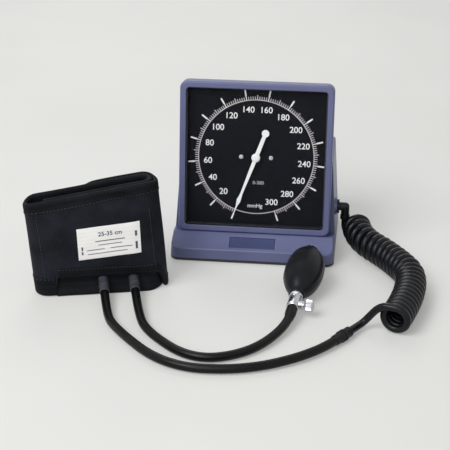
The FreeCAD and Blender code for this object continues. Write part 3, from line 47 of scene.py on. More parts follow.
scene = bpy.context.scene
scene.view_settings.view_transform = "Standard"

# Own axes of the four groups, as rows: to the right, up and out of the dial; across, over and along the bulb; along,
# through and up the cuff; across, up and along the connector.
LEAN = math.radians(10)
DIAL_SPOT = np.array([0.0, -8.01479, 104.35170])
DIAL_AXES = np.array([[1, 0, 0], [0, math.sin(LEAN), math.cos(LEAN)], [0, -math.cos(LEAN), math.sin(LEAN)]])
BULB_SPOT = np.array([59.5, -109.2, 20.55])
BULB_WAY = np.array([-0.120683, -0.982887, -0.139173])
BULB_SIDE = np.array([0.992546, -0.121869, 0.0])
BULB_AXES = np.array([BULB_SIDE, np.cross(BULB_WAY, BULB_SIDE), BULB_WAY])
BRANCH_SPOT = BULB_SPOT + 55 * BULB_WAY
BRANCH_AXES = BULB_AXES[[1, 2, 0]]
CUFF_TURN = math.radians(14)
CUFF_LEAN = 0.078
CUFF_SPOT = np.array([-213.0, -156.0, 0.0])
CUFF_AXES = np.array([[math.cos(CUFF_TURN), math.sin(CUFF_TURN), 0], [-math.sin(CUFF_TURN), math.cos(CUFF_TURN), 0],
                      [0, 0, 1]])
UP = np.array([0.0, 0.0, 1.0])
CONNECTOR_SPOT = np.array([110.0, -199.0, 6.2])
CONNECTOR_WAY = np.array([-0.559301, -0.828965, 0.0])
CONNECTOR_AXES = np.array([np.cross(UP, CONNECTOR_WAY), UP, CONNECTOR_WAY])


def placed(points, spot, axes):
    """Points in a group's own millimetres, carried along its axes from its spot into the frame, in metres."""
    return (np.asarray(points) @ axes + spot) * MM


def smooth(x, start, end):
    """0 before start, 1 after end, and 3t^2 - 2t^3 of the share t of the way between."""
    share = np.clip((np.asarray(x, float) - start) / (end - start), 0, 1)
    return share * share * (3 - 2 * share)


# ---------------------------------------------------------------------------------------------------------- camera

def aim_camera(azimuth, elevation, distance, target, lens):
    """A camera on the sphere about target, at the azimuth and elevation of the photograph, looking at target."""
    turn, rise = math.radians(azimuth), math.radians(elevation)
    back = Vector((math.sin(turn) * math.cos(rise), -math.cos(turn) * math.cos(rise), math.sin(rise)))
    camera = bpy.data.objects.new("camera", bpy.data.cameras.new("camera"))
    camera.data.lens, camera.data.clip_start, camera.data.clip_end = lens, 0.05, 50
    camera.location = (Vector(target) + distance * back) * MM
    camera.rotation_euler = back.to_track_quat("Z", "Y").to_euler()
    scene.collection.objects.link(camera)
    scene.camera = camera


aim_camera(azimuth=6.6, elevation=25, distance=1400, target=(-25, -81, 57), lens=108)


# ------------------------------------------------------------------------------------------------------- materials

def linear(colour):
    """Linear RGBA of an sRGB hex colour."""
    code = np.array([int(colour[spot:spot + 2], 16) for spot in (1, 3, 5)]) / 255
    return (*np.where(code <= 0.04045, code / 12.92, ((code + 0.055) / 1.055) ** 2.4).tolist(), 1.0)


def add(tree, kind, sockets=None, **settings):
    """One node with its settings; sockets gives its inputs, each a number or colour or another node's output."""
    node = tree.nodes.new("ShaderNode" + kind)
    for name, value in settings.items():
        setattr(node, name, value)
    for name, source in (sockets or {}).items():
        if isinstance(source, bpy.types.NodeSocket):
            tree.links.new(source, node.inputs[name])
        else:
            node.inputs[name].default_value = source
    return node


def blank(name):
    """An empty node material and its tree."""
    made = bpy.data.materials.new(name)
    made.use_nodes = True
    made.node_tree.nodes.clear()
    return made, made.node_tree


def grained(name, colours, cloud, grain, depth, rough, wander=0.08, edge=0.0, edge_highlight=None, stretch=(1, 1, 1), **shader):
    """A moulded, cast or drawn finish. Soft clouds, cloud mm wide, shift the colour and the roughness by wander; a
    grain, grain mm wide and depth mm deep, breaks the gloss; stretch draws both out along an axis. Where edge is
    given, corners catch light over edge mm, and the colour edge_highlight is painted on them in patches as a
    painted highlight."""
    made, tree = blank(name)
    place = add(tree, "TexCoord").outputs["Object"]
    drawn = add(tree, "Mapping", {"Vector": place, "Scale": stretch}).outputs[0]
    clouds = add(tree, "TexNoise", {"Vector": drawn, "Scale": 1 / (cloud * MM), "Detail": 4.0}).outputs[0]
    grains = add(tree, "TexNoise", {"Vector": drawn, "Scale": 1 / (grain * MM), "Detail": 2.0}).outputs[0]
    shade = add(tree, "MapRange", {"Value": clouds, "From Min": 0.3, "From Max": 0.7}).outputs[0]
    dark, light = (linear(colour) for colour in colours)
    colour = add(tree, "MixRGB", {"Fac": shade, "Color1": dark, "Color2": light}).outputs[0]
    sheen = add(tree, "MapRange", {"Value": clouds, "From Min": 0.3, "From Max": 0.7, "To Min": rough - wander,
                                   "To Max": rough + wander}).outputs[0]
    relief = {"Height": grains, "Distance": depth * MM, "Strength": 0.8}
    if edge:
        soft = add(tree, "Bevel", {"Radius": edge * MM}, samples=6).outputs[0]
        relief["Normal"] = soft
        # Painted highlight: edge_highlight is mixed in, in patches, where the rounded normal turns from the flat one.
        if edge_highlight:
            straight = add(tree, "NewGeometry").outputs["Normal"]
            turned = add(tree, "VectorMath", {0: soft, 1: straight}, operation="DOT_PRODUCT").outputs["Value"]
            share = add(tree, "MapRange", {"Value": turned, "From Min": 0.97, "From Max": 0.8, "To Min": 0.0,
                                           "To Max": 0.7}).outputs[0]
            highlight_patches = add(tree, "Math", {0: share, 1: clouds}, operation="MULTIPLY").outputs[0]
            colour = add(tree, "MixRGB", {"Fac": highlight_patches, "Color1": colour, "Color2": linear(edge_highlight)}).outputs[0]
    bump = add(tree, "Bump", relief).outputs[0]
    surface = add(tree, "BsdfPrincipled", {"Base Color": colour, "Roughness": sheen, "Normal": bump, **shader})
    add(tree, "OutputMaterial", {"Surface": surface.outputs[0]})
    return made


def woven(name, colours, across, along, depth, rough, **shader):
    """A woven finish on the piece's own thread coordinates, in mm along and across the cloth: two ripples, across and
    along mm apart, multiplied so that threads pass over and under, and soft clouds of wear in the colour."""
    made, tree = blank(name)
    run = add(tree, "Attribute", attribute_name="thread").outputs["Vector"]
    warp = add(tree, "TexWave", {"Vector": run, "Scale": math.pi / 10 / across, "Distortion": 0.6, "Detail": 1.0},
               bands_direction="X").outputs["Fac"]
    weft = add(tree, "TexWave", {"Vector": run, "Scale": math.pi / 10 / along, "Distortion": 0.6, "Detail": 1.0},
               bands_direction="Y").outputs["Fac"]
    weave = add(tree, "Math", {0: warp, 1: weft}, operation="MULTIPLY").outputs[0]
    clouds = add(tree, "TexNoise", {"Vector": run, "Scale": 1 / 22, "Detail": 5.0}).outputs[0]
    both = add(tree, "Math", {0: weave, 1: 0.45, 2: clouds}, operation="MULTIPLY_ADD").outputs[0]
    shade = add(tree, "MapRange", {"Value": both, "From Min": 0.35, "From Max": 1.0}).outputs[0]
    dark, light = (linear(colour) for colour in colours)
    colour = add(tree, "MixRGB", {"Fac": shade, "Color1": dark, "Color2": light}).outputs[0]
    sheen = add(tree, "MapRange", {"Value": both, "From Min": 0.3, "From Max": 1.1, "To Min": rough + 0.08,
                                   "To Max": rough - 0.08}).outputs[0]
    bump = add(tree, "Bump", {"Height": weave, "Distance": depth * MM, "Strength": 0.9}).outputs[0]
    surface = add(tree, "BsdfPrincipled", {"Base Color": colour, "Roughness": sheen, "Normal": bump, **shader})
    add(tree, "OutputMaterial", {"Surface": surface.outputs[0]})
    return made


# Matt paint, cloth and rubber mirror less than a smooth resin does.
LOW_GLOSS, SOFT_GLOSS = {"Specular IOR Level": 0.12}, {"Specular IOR Level": 0.2}
# Injection-moulded ABS in slate blue: satin, finely spark-eroded, with a painted highlight in pale lavender on its
# corners.
slate_abs = grained("slate_abs_moulded", ("#52577f", "#5d6288"), cloud=60, grain=0.7, depth=0.02, rough=0.40, edge=1.0,
                    edge_highlight="#8a8fae", IOR=1.53)
# The same resin in near black for case, base and trim: flatter, with a coarser grain, and a painted grey
# highlight on its corners.
dark_abs = grained("dark_abs_moulded", ("#1b1d24", "#24262e"), cloud=45, grain=0.9, depth=0.03, rough=0.48, edge=0.8,
                   edge_highlight="#3c3f4b", IOR=1.53)
# Blank plate in the lip: darker slate ABS with a satin face.
plate_abs = grained("plate_abs_satin", ("#2c3660", "#353f6a"), cloud=30, grain=0.6, depth=0.015, rough=0.34, edge=0.5,
                    IOR=1.53)
# Screen-printed aluminium, matt black: an even paint skin with slight orange peel.
dial_paint = grained("dial_aluminium_matt_black", ("#080a11", "#0d1018"), cloud=40, grain=3.0, depth=0.004, rough=0.6,
                     wander=0.03, **LOW_GLOSS)
# Screen ink in white and in a softer grey for the fine divisions: flat, slightly broken at its edges.
print_white = grained("screen_ink_white", ("#e2e2e4", "#f2f2f3"), cloud=8, grain=0.3, depth=0.01, rough=0.55)
print_grey = grained("screen_ink_grey", ("#bab5ba", "#ccc7cc"), cloud=8, grain=0.3, depth=0.01, rough=0.6)
# Stoved white enamel on the pointer: smooth and a little glossy.
enamel = grained("enamel_white_stoved", ("#eceef0", "#f7f8f9"), cloud=12, grain=0.8, depth=0.006, rough=0.25,
                 wander=0.05)
# Zinc-plated steel screws: grey, slightly cloudy, turned.
zinc = grained("steel_zinc_plated", ("#a9acb0", "#c6c8ca"), cloud=2.5, grain=1.0, depth=0.006, rough=0.33, edge=0.2,
               Metallic=1.0)
# Machined brass of the movement: warm, with fine lines from the cutter.
brass = grained("brass_machined", ("#b8913f", "#d2ae62"), cloud=9, grain=0.35, depth=0.012, rough=0.28, edge=0.25,
                stretch=(1, 1, 6), Metallic=1.0)
# Ground steel of arbors and balls: bright and cool.
ground_steel = grained("steel_ground", ("#b4b8bd", "#cfd2d5"), cloud=3, grain=0.2, depth=0.006, rough=0.2, Metallic=1.0)
# Rolled phosphor bronze of the capsule: reddish, with soft heat tints.
bronze = grained("phosphor_bronze_rolled", ("#8f6238", "#b07c48"), cloud=7, grain=0.4, depth=0.01, rough=0.32,
                 Metallic=1.0)
# Chromed brass of the valve: mirror-like, with a faint haze from handling.
chrome = grained("brass_chrome_plated", ("#b4b6ba", "#cbccd0"), cloud=10, grain=4.0, depth=0.004, rough=0.16,
                 wander=0.04, Metallic=1.0)
# Vulcanised rubber of the plain hoses: black, satin, with a dusty bloom.
hose_rubber = grained("hose_rubber_extruded", ("#030304", "#08080a"), cloud=14, grain=2.0, depth=0.02, rough=0.34,
                      **SOFT_GLOSS)
# Coiled hose of soft vinyl: near black, with the glossy skin that extrusion leaves.
coil_vinyl = grained("coil_vinyl_extruded", ("#0d0e12", "#17181d"), cloud=18, grain=2.0, depth=0.02, rough=0.26,
                     **SOFT_GLOSS)
# Moulded rubber of the bulb: black with a grey bloom, silky.
bulb_rubber = grained("bulb_rubber_moulded", ("#15161a", "#1f2024"), cloud=22, grain=2.0, depth=0.02, rough=0.34,
                      **LOW_GLOSS)
# Latex-free rubber of the bladder tubes, painted in mid grey, lighter than the hoses, as a painted highlight.
highlit_tube_rubber = grained("bladder_rubber_painted_highlight", ("#37383d", "#46474d"), cloud=10, grain=2.0, depth=0.02, rough=0.42,
                      **SOFT_GLOSS)
# Foot mat of cellular rubber: matt, open grain.
mat_rubber = grained("mat_rubber_cellular", ("#141416", "#202023"), cloud=12, grain=1.1, depth=0.12, rough=0.75,
                     **LOW_GLOSS)
# Black glass-filled nylon of elbow, nut and connectors: dull, with a swirl of fibres and a painted grey highlight
# on its corners.
fitting_nylon = grained("fitting_nylon_moulded", ("#0d0e10", "#17181b"), cloud=9, grain=1.5, depth=0.02, rough=0.42,
                        edge=0.4, edge_highlight="#292b2f", **SOFT_GLOSS)
# Woven nylon of the cuff; the real thread spacing, 0.5 mm, is drawn at 2.2 mm to show.
cuff_nylon = woven("cuff_nylon_woven", ("#0d0f14", "#222630"), across=2.2, along=2.2, depth=0.16, rough=0.62,
                   **LOW_GLOSS)
# Grosgrain binding on the cuff's edges; ribs 0.8 mm apart are drawn at 1.8 mm to show.
binding = woven("binding_grosgrain", ("#08090c", "#16181e"), across=1.8, along=6.0, depth=0.2, rough=0.66, **LOW_GLOSS)
# Hook tape: moulded nylon hooks, drawn 2 mm apart.
hook_nylon = woven("hook_tape_nylon", ("#0d0e10", "#1a1b1f"), across=2.0, along=2.0, depth=0.4, rough=0.55, **LOW_GLOSS)
# Satin label: white polyester with fine shiny threads, 0.3 mm apart, drawn at 1.2 mm to show.
satin = woven("label_polyester_satin", ("#eeece9", "#fbfaf8"), across=1.2, along=4.0, depth=0.03, rough=0.45)
# Spun polyester sewing thread: dark, dull and slightly hairy.
thread = grained("thread_polyester", ("#12141a", "#1f2229"), cloud=3, grain=0.4, depth=0.03, rough=0.6)
# Dark ink printed on the label: flat and a little blue.
label_ink = grained("label_ink_dark", ("#3a4052", "#4a5066"), cloud=5, grain=0.4, depth=0.01, rough=0.6)

# Cast acrylic of the window: clear, so it only shows what it mirrors, more so at a slant.
window_acrylic, window_tree = blank("window_acrylic_clear")
slant = add(window_tree, "Fresnel", {"IOR": 1.04}).outputs[0]
mirror = add(window_tree, "BsdfPrincipled", {"Base Color": linear("#ffffff"), "Metallic": 1.0, "Roughness": 0.03,
                                             "Alpha": slant}).outputs[0]
add(window_tree, "OutputMaterial", {"Surface": mirror})


# ---------------------------------------------------------------------------------------------------------- meshes

def patch(points, ring=False):
    """Quads between neighbours of a grid of points, whose last column joins the first. ring joins the last row to the
    first too; else one face each closes the first and the last row. A stack of grids gives them all at once."""
    rows, columns = points.shape[-3:-1]
    count = points.size // (3 * rows * columns)
    spots = np.arange(count * rows * columns).reshape(count, rows, columns)
    low, high = (spots, np.roll(spots, -1, 1)) if ring else (spots[:, :-1], spots[:, 1:])
    sides = [low, np.roll(low, -1, 2), np.roll(high, -1, 2), high]
    faces = np.stack(sides, -1).reshape(-1, 4).tolist()
    if not ring:
        faces += spots[:, 0, ::-1].tolist() + spots[:, -1].tolist()
    return points.reshape(-1, 3), faces


def piece(name, patches, material, body="gauge", stands_for=(), crease=38, threads=None):
    """One mesh object from patches of points in metres, turned outwards, smooth up to the crease angle. threads gives
    the cloth coordinates of its points."""
    starts = np.cumsum([0] + [len(points) for points, faces in patches])
    faces = [[spot + int(start) for spot in face] for (points, made), start in zip(patches, starts) for face in made]
    mesh = bpy.data.meshes.new(name)
    mesh.from_pydata(np.concatenate([points for points, made in patches]).tolist(), [], faces)
    if threads is not None:
        flat = np.concatenate([np.reshape(run, (-1, 2)) for run in threads])
        mesh.attributes.new("thread", "FLOAT_VECTOR", "POINT").data.foreach_set(
            "vector", np.column_stack([flat, np.zeros(len(flat))]).ravel())
    work = bmesh.new()
    work.from_mesh(mesh)
    bmesh.ops.recalc_face_normals(work, faces=work.faces)
    work.to_mesh(mesh)
    work.free()
    mesh.shade_smooth()
    mesh.set_sharp_from_angle(angle=math.radians(crease))
    mesh.materials.append(material)
    made = bpy.data.objects.new(name, mesh)
    scene.collection.objects.link(made)
    return settle(made, body, stands_for)


def settle(made, body, stands_for):
    """The piece rides on its body and stands for its CAD nodes."""
    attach(made, body)
    if stands_for:
        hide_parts(*stands_for)
    return made


def take_mesh(maker):
    """Points and faces of the mesh that Blender makes of a curve or a text object, which is then removed."""
    bpy.context.view_layer.update()
    mesh = bpy.data.meshes.new_from_object(maker.evaluated_get(bpy.context.evaluated_depsgraph_get()))
    points = np.empty(3 * len(mesh.vertices))
    mesh.vertices.foreach_get("co", points)
    faces = [list(face.vertices) for face in mesh.polygons]
    curve = maker.data
    bpy.data.objects.remove(maker)
    bpy.data.curves.remove(curve)
    bpy.data.meshes.remove(mesh)
    return points.reshape(-1, 3), faces


def soften(profile, radius, steps=5):
    """A profile whose corners are eased: each inner corner becomes the quadratic curve between the points radius
    before and after it, or half of a side where that is shorter."""
    profile = np.asarray(profile, float)
    spot, before, after = profile[1:-1], profile[:-2], profile[2:]
    reach_in, reach_out = (np.linalg.norm(other - spot, axis=1, keepdims=True) for other in (before, after))
    start = spot + (before - spot) * np.minimum(radius / reach_in, 0.49)
    end = spot + (after - spot) * np.minimum(radius / reach_out, 0.49)
    share = np.linspace(0, 1, steps)[:, None, None]
    eased = (1 - share) ** 2 * start + 2 * share * (1 - share) * spot + share ** 2 * end
    return np.concatenate([profile[:1], eased.transpose(1, 0, 2).reshape(-1, 2), profile[-1:]])


def lathe(profile, around=64, teeth=0, tooth=0.0, band=(0, 0), angles=None):
    """A profile of radius and height turned about Z, in around even steps or at the angles given. Between the heights
    of band, the radius is cut in by tooth at each of the teeth round it, as knurling is:
    r - tooth (1 - cos(teeth a)) / 2."""
    profile = np.asarray(profile, float)
    turn = np.linspace(0, 2 * np.pi, around, endpoint=False) if angles is None else angles
    radius, height = profile[:, :1], profile[:, 1:]
    if teeth:
        knurled = (height >= band[0]) & (height <= band[1])
        radius = radius - knurled * tooth * (1 - np.cos(teeth * turn)) / 2
    flat = np.broadcast_to(height, (len(profile), len(turn)))
    return np.stack([radius * np.cos(turn), radius * np.sin(turn), flat], -1)


# ----------------------------------------------------------------------------------------------------------- hoses

def spline_object(name, points, steps):
    """A NURBS curve object with the route's points, in mm, as its control points."""
    curve = bpy.data.curves.new(name, "CURVE")
    curve.dimensions = "3D"
    spline = curve.splines.new("NURBS")
    spline.points.add(len(points) - 1)
    spline.points.foreach_set("co", np.column_stack([np.asarray(points) * MM, np.ones(len(points))]).ravel())
    spline.order_u = 3
    spline.use_endpoint_u = True
    spline.resolution_u = steps
    made = bpy.data.objects.new(name, curve)
    scene.collection.objects.link(made)
    return made


def read_spline(points, steps):
    """Points along the NURBS spline of a route, in mm, as Blender gives them for a curve with no bevel."""
    return take_mesh(spline_object("guide", points, steps))[0] / MM


def hose(name, points, diameter, material, steps, node):
    """A round hose of that diameter along the spline of its route, in place of its CAD tube."""
    made = spline_object(name, points, steps)
    made.data.bevel_depth = diameter / 2 * MM
    made.data.bevel_resolution = 5
    made.data.use_fill_caps = True
    made.data.materials.append(material)
    return settle(made, "gauge", [node])


def coil_points():
    """Control points of the coiled hose: down out of the elbow, then a helix about a curved axis, A + r (cos p left +
    sin p up), whose phase p grows with the length of axis on its inner side, so that the turns close up there, and
    the tail down to the connector."""
    radius, turns, points_a_turn = 12.5, 25.75, 24
    axis = read_spline([(109.3, 2.5, 26), (112, -22, 22), (149, -57, 17.5), (177, -111, 16.6), (152, -190, 16.6)], 60)
    step = np.linalg.norm(np.diff(axis, axis=0), axis=1)
    length = np.concatenate([[0], np.cumsum(step)])
    heading = np.gradient(axis, length, axis=0)
    heading /= np.linalg.norm(heading, axis=1, keepdims=True)
    bend = np.linalg.norm(np.gradient(heading, length, axis=0), axis=1)
    density = 1 - np.minimum(radius * bend, 0.6)
    phase = np.concatenate([[0], np.cumsum(step * (density[1:] + density[:-1]) / 2)])
    at = np.linspace(0, 1, round(points_a_turn * turns) + 1)
    where = np.interp(at, phase / phase[-1], length)
    centre = np.stack([np.interp(where, length, axis[:, part]) for part in range(3)], -1)
    ahead = np.stack([np.interp(where, length, heading[:, part]) for part in range(3)], -1)
    left = np.cross(UP, ahead)
    turn = np.pi + 2 * np.pi * turns * at[:, None]
    helix = centre + radius * (np.cos(turn) * left + np.sin(turn) * UP)
    tail = [(137.6, -186, 29.1), (123, -179.7, 6.2), (114.195, -192.783, 6.2), (110, -199, 6.2)]
    return np.concatenate([[(97, 0.335, 34.046), (97, 0.335, 30)], helix, tail])


COIL_TUBE, PLAIN_TUBE = 7.5, 9
CUFF_HOSE = [(95.458, -220.553, 6.2), (78.4, -245.9, 6.2), (16, -281.5, 4.8), (-58, -282.5, 4.8), (-119, -215, 4.8),
             (-132, -183.4, 4.8), (-141.687, -144.403, 13.0)]
BULB_HOSE = [(50.7505, -180.4593, 10.4600), (48.2, -201.3, 7.5), (17, -250, 4.8), (-34, -268.5, 4.8),
             (-84, -221.5, 4.8), (-99.7, -184.7, 4.8), (-111.608, -136.904, 13.0)]
coil = hose("coiled_hose", coil_points(), COIL_TUBE, coil_vinyl, steps=4, node="coil_hose")
cuff_hose = hose("hose_to_cuff", CUFF_HOSE, PLAIN_TUBE, hose_rubber, steps=24, node="cuff_hose")
bulb_hose = hose("hose_to_bulb", BULB_HOSE, PLAIN_TUBE, hose_rubber, steps=24, node="bulb_hose")


# ------------------------------------------------------------------------------------------- connector on the hoses

def connector_half(name, profile, band, node):
    """One half of the hose connector: a turned sleeve with finger ribs on its grip."""
    shape = lathe(soften(profile, 0.5), around=72, teeth=18, tooth=0.7, band=band)
    return piece(name, [patch(placed(shape, CONNECTOR_SPOT, CONNECTOR_AXES))], fitting_nylon,
                 stands_for=[node])


connector_socket = connector_half("connector_socket_grip", [
    (3.0, 0.2), (4.6, 0.2), (5.2, 1.4), (5.2, 2.6), (4.8, 3.0), (5.2, 3.4), (5.2, 5.0), (4.8, 5.4), (5.2, 5.8),
    (5.2, 8.6), (6.0, 9.2), (6.0, 12.6), (3.0, 12.9)], (9, 12.7), "connector_socket")
connector_plug = connector_half("connector_plug_grip", [
    (3.0, 13.1), (6.0, 13.4), (6.0, 16.8), (5.2, 17.4), (5.2, 20.0), (4.8, 20.4), (5.2, 20.8), (5.2, 22.4),
    (4.8, 22.8), (5.2, 23.2), (5.2, 24.6), (4.6, 25.8), (3.0, 25.8)], (13.2, 17), "connector_plug")


# -------------------------------------------------------------------------------------------------- bulb and valve

BELLY_HALF, BELLY_RADIUS, NECK_RADIUS, NECK_HALF = 38, 20, 7.5, 40.9


def bulb_shape():
    """The bulb: an ellipsoid, blunter at its far end and leaner at the valve, joined to a neck at each end by the
    eighth-power mean of the two radii, with a bead on each neck and a low parting ridge along both sides."""
    height = np.linspace(-NECK_HALF, NECK_HALF, 120)
    blunt = np.where(height < 0, 2.5, 1.85)
    belly = BELLY_RADIUS * np.sqrt(np.maximum(1 - np.abs(height / BELLY_HALF) ** blunt, 0.0001))
    bead = 0.6 * np.exp(-((np.abs(height) - 39.5) / 1.1) ** 2)
    radius = (belly ** 8 + NECK_RADIUS ** 8) ** 0.125 + bead
    radius = radius * BELLY_RADIUS / radius.max()
    mouth = np.array([(4.5, 38.5), (4.5, 41.5), (6.8, 41.5)])
    profile = np.concatenate([mouth * (1, -1), np.column_stack([radius, height]), mouth[::-1]])
    even = np.linspace(0, 2 * np.pi, 160, endpoint=False)
    angles = even - 0.4 * np.sin(2 * even)
    shape = lathe(profile, angles=angles)
    across = profile[:, :1] * np.sin(angles)
    lift = 0.35 * np.exp(-(across / 0.7) ** 2) * (np.abs(profile[:, 1:]) < NECK_HALF)
    shape[..., :2] *= 1 + lift[..., None] / np.maximum(profile[:, :1], 1)[..., None]
    return shape


piece("inflation_bulb", [patch(placed(bulb_shape(), BULB_SPOT, BULB_AXES))], bulb_rubber,
      stands_for=["bulb"])
valve_profile = [(4.3, 35.5), (4.3, 41.6), (6.4, 41.6), (7, 42.1), (7, 44.1), (6.4, 44.6), (5.7, 44.8), (5.7, 45.8),
                 (6.5, 46.1), (6.5, 47.9), (6.2, 48.2), (6.5, 48.5), (6.5, 58.9), (5.2, 60.7), (4, 61.3), (4, 64.1),
                 (5.2, 64.7), (5.2, 66.7), (4.7, 67.1), (5.2, 67.5), (5.2, 69.5), (4.7, 69.9), (5.2, 70.3), (5.2, 71.9),
                 (4.4, 72.5), (3, 72.5)]
branch_profile = [(4.5, 3), (4.5, 7.6), (5.1, 7.9), (5.1, 8.9), (4.5, 9.2), (4.5, 10.5), (4.1, 11), (2.3, 11)]
valve_shape = lathe(soften(valve_profile, 0.4), around=96, teeth=32, tooth=0.5, band=(42.0, 44.2))
piece("release_valve", [
    patch(placed(valve_shape, BULB_SPOT, BULB_AXES)),
    patch(placed(lathe(soften(branch_profile, 0.3), 64), BRANCH_SPOT, BRANCH_AXES))],
    chrome, stands_for=["valve_body"])
# End of the bulb's hose, stretched over the barbs of the valve's nipple and tapering to the hose behind them.
hose_end_profile = [(3.0, 61.9), (5.0, 61.9), (5.6, 62.5), (5.7, 66.0), (5.55, 68.4), (5.7, 70.6), (5.3, 74.0),
                    (4.7, 78.0), (4.55, 80.0), (4.0, 80.2)]
piece("bulb_hose_end", [patch(placed(lathe(soften(hose_end_profile, 0.6), 64), BULB_SPOT, BULB_AXES))], hose_rubber)
knob_profile = [(1.9, 5), (1.9, 11.8), (4.6, 12), (6.0, 12.4), (6.5, 13.1), (6.5, 18.6), (6.0, 19.5), (4.4, 20),
                (4.0, 19.5), (0.2, 19.4)]
knob_shape = lathe(soften(knob_profile, 0.4), around=144, teeth=24, tooth=0.8, band=(12.9, 18.8))
piece("valve_thumb_screw", [patch(placed(knob_shape, BRANCH_SPOT, BRANCH_AXES))], chrome, body="release_screw",
      stands_for=["valve_screw"])
intake_profile = [(4.3, -35.5), (4.3, -41.6), (6.5, -41.6), (6.5, -43.1), (5.7, -44), (2.6, -44), (1.8, -43.4),
                  (1.8, -40.5)]
intake_shape = lathe(soften(intake_profile, 0.4), around=72, teeth=24, tooth=0.4, band=(-43.2, -41.7))
piece("intake_valve_cap", [patch(placed(intake_shape, BULB_SPOT, BULB_AXES))], chrome,
      stands_for=["intake_valve"])


# ------------------------------------------------------------------------------------------------------------ cuff

# The rolled band: half its thickness, the roll's length, the middles of its left and right ends and of its depth, the
# radii of its three bends from the outermost inwards, and where its flap and its inner end stop.
HALF, ROLL = 2.3, 140
LEFT_END, RIGHT_END, MIDDLE_ROW = 17, 123, 17
OUTER_BEND, MIDDLE_BEND, INNER_BEND = 14.7, 11.8, 8.9
FLAP_END, INNER_END = 47, 24
# Its edges: height at the left and climb to the right, the front hem, room over the floor and the flap's rounding.
TOP_LEFT, TOP_CLIMB, HEM, CLEAR, FLAP_ROUND = 102, 19, 20, 0.4, 34
# Widths of its edge bindings, how far inside a binding's rim its seam runs, and the stitches' spacing.
EDGE_TAPE, FOOT_TAPE, SEAM_INSET, STITCH_GAP = 8.5, 17.5, 0.9, 3.6


def cuff_way(steps=900):
    """Middle line of the rolled band in the cuff's own plane, from the flap at the back, round both ends, to its
    inner end: straight runs joined by half circles, read at even steps, with the lengths to them."""
    falling = np.linspace(np.pi / 2, -np.pi / 2, 60)[:, None]
    climbing = np.linspace(-np.pi / 2, -3 * np.pi / 2, 60)[:, None]
    turn = lambda column, row, radius, way: np.hstack([column + radius * np.cos(way), row + radius * np.sin(way)])
    line = np.concatenate([[(FLAP_END, MIDDLE_ROW + OUTER_BEND)], turn(RIGHT_END, MIDDLE_ROW, OUTER_BEND, falling),
                           turn(LEFT_END, MIDDLE_ROW - OUTER_BEND + MIDDLE_BEND, MIDDLE_BEND, climbing),
                           turn(RIGHT_END, MIDDLE_ROW, INNER_BEND, falling), [(INNER_END, MIDDLE_ROW - INNER_BEND)]])
    length = np.concatenate([[0], np.cumsum(np.linalg.norm(np.diff(line, axis=0), axis=1))])
    at = np.linspace(0, length[-1], steps)
    return at, np.stack([np.interp(at, length, line[:, part]) for part in range(2)], -1)


WAY_AT, WAY = cuff_way()
WAY_OUT = np.gradient(WAY, WAY_AT, axis=0) @ np.array([[0, 1], [-1, 0]])
# Lengths along the band at which its outer front layer, its back layer under the flap and its inner front layer start.
FRONT_START = RIGHT_END - FLAP_END + np.pi * OUTER_BEND
BACK_START = FRONT_START + RIGHT_END - LEFT_END + np.pi * MIDDLE_BEND
INNER_START = BACK_START + RIGHT_END - LEFT_END + np.pi * INNER_BEND


def cuff_top(at):
    """Height of the cuff's upper edge: it climbs from left to right in a slow wave, drops at both corners, and the
    flap's own corner is rounded off with the power 2.5 of the way to it."""
    u = np.interp(at, WAY_AT, WAY[:, 0])
    share = u / ROLL
    climb = TOP_CLIMB * (0.8 * share + 0.2 * smooth(share, 0.05, 0.95))
    drops = 5 * np.exp(-((u + 1) / 8) ** 2) + 4 * np.exp(-((u - ROLL - 1) / 7) ** 2)
    return TOP_LEFT + climb - drops - 22 * np.clip(1 - at / FLAP_ROUND, 0, 1) ** 2.5


def cuff_hem(at):
    """Height of the cuff's lower edge: the outer front layer ends in a hem as far as the inner layer reaches behind
    it, and the rest stands on the floor."""
    raised = smooth(at, FRONT_START - 16, FRONT_START - 6) * (1 - smooth(at, FRONT_START + 95, FRONT_START + 99))
    return CLEAR + (HEM - CLEAR) * raised


def cuff_swell(at, u, z):
    """How far the cloth stands out from its flat layer: slow wrinkles everywhere, and on the outer front layer the
    pillow of the air bladder, a dip along its sewn border and slanting folds under the top corner."""
    front = smooth(at, FRONT_START - 8, FRONT_START + 8) * (1 - smooth(at, FRONT_START + 98, FRONT_START + 114))
    wrinkle = 0.22 * np.sin(at / 17 + z / 29) + 0.14 * np.sin(at / 6.1 - z / 15 + 1) + 0.1 * np.sin(at / 4.3 + z / 41)
    pillow = 2.4 * smooth(u, 12, 40) * (1 - smooth(u, 104, 130)) * smooth(z, 16, 42) * (1 - smooth(z, 84, 108))
    border = -0.7 * (np.exp(-((u - 15) / 2.2) ** 2) + np.exp(-((u - 127) / 2.2) ** 2)
                     + np.exp(-((u - 8) / 1.6) ** 2))
    folds = 1.1 * np.sin((u * 0.35 + z) / 4.6) * smooth(u, 50, 90) * smooth(z, 78, 96) * (1 - smooth(z, 108, 122))
    return wrinkle + front * (pillow + border + folds)


def cuff_flare(at, z):
    """How far the inner front layer fans out forwards below the hem: 8 mm at the floor, with the square of the way
    down from 22 mm."""
    inner = smooth(at, INNER_START - 12, INNER_START + 6)
    return 8 * inner * np.clip(1 - z / 22, 0, 1) ** 2


def cuff_skin(at, out, z):
    """Places on the cuff: at mm along the band, out mm from its middle line, z mm up, swollen as the cloth is there,
    with the whole roll leaning a little to the left as it rises."""
    u, w = (np.interp(at, WAY_AT, WAY[:, part]) for part in range(2))
    du, dw = (np.interp(at, WAY_AT, WAY_OUT[:, part]) for part in range(2))
    out = out + cuff_swell(at, u, z) * np.clip(out / HALF, -1, 1) * np.where(out > 0, 1, 0.5)
    flared = w + out * dw - cuff_flare(at, z)
    return placed(np.stack([u + out * du - CUFF_LEAN * z, flared, z], -1), CUFF_SPOT, CUFF_AXES)


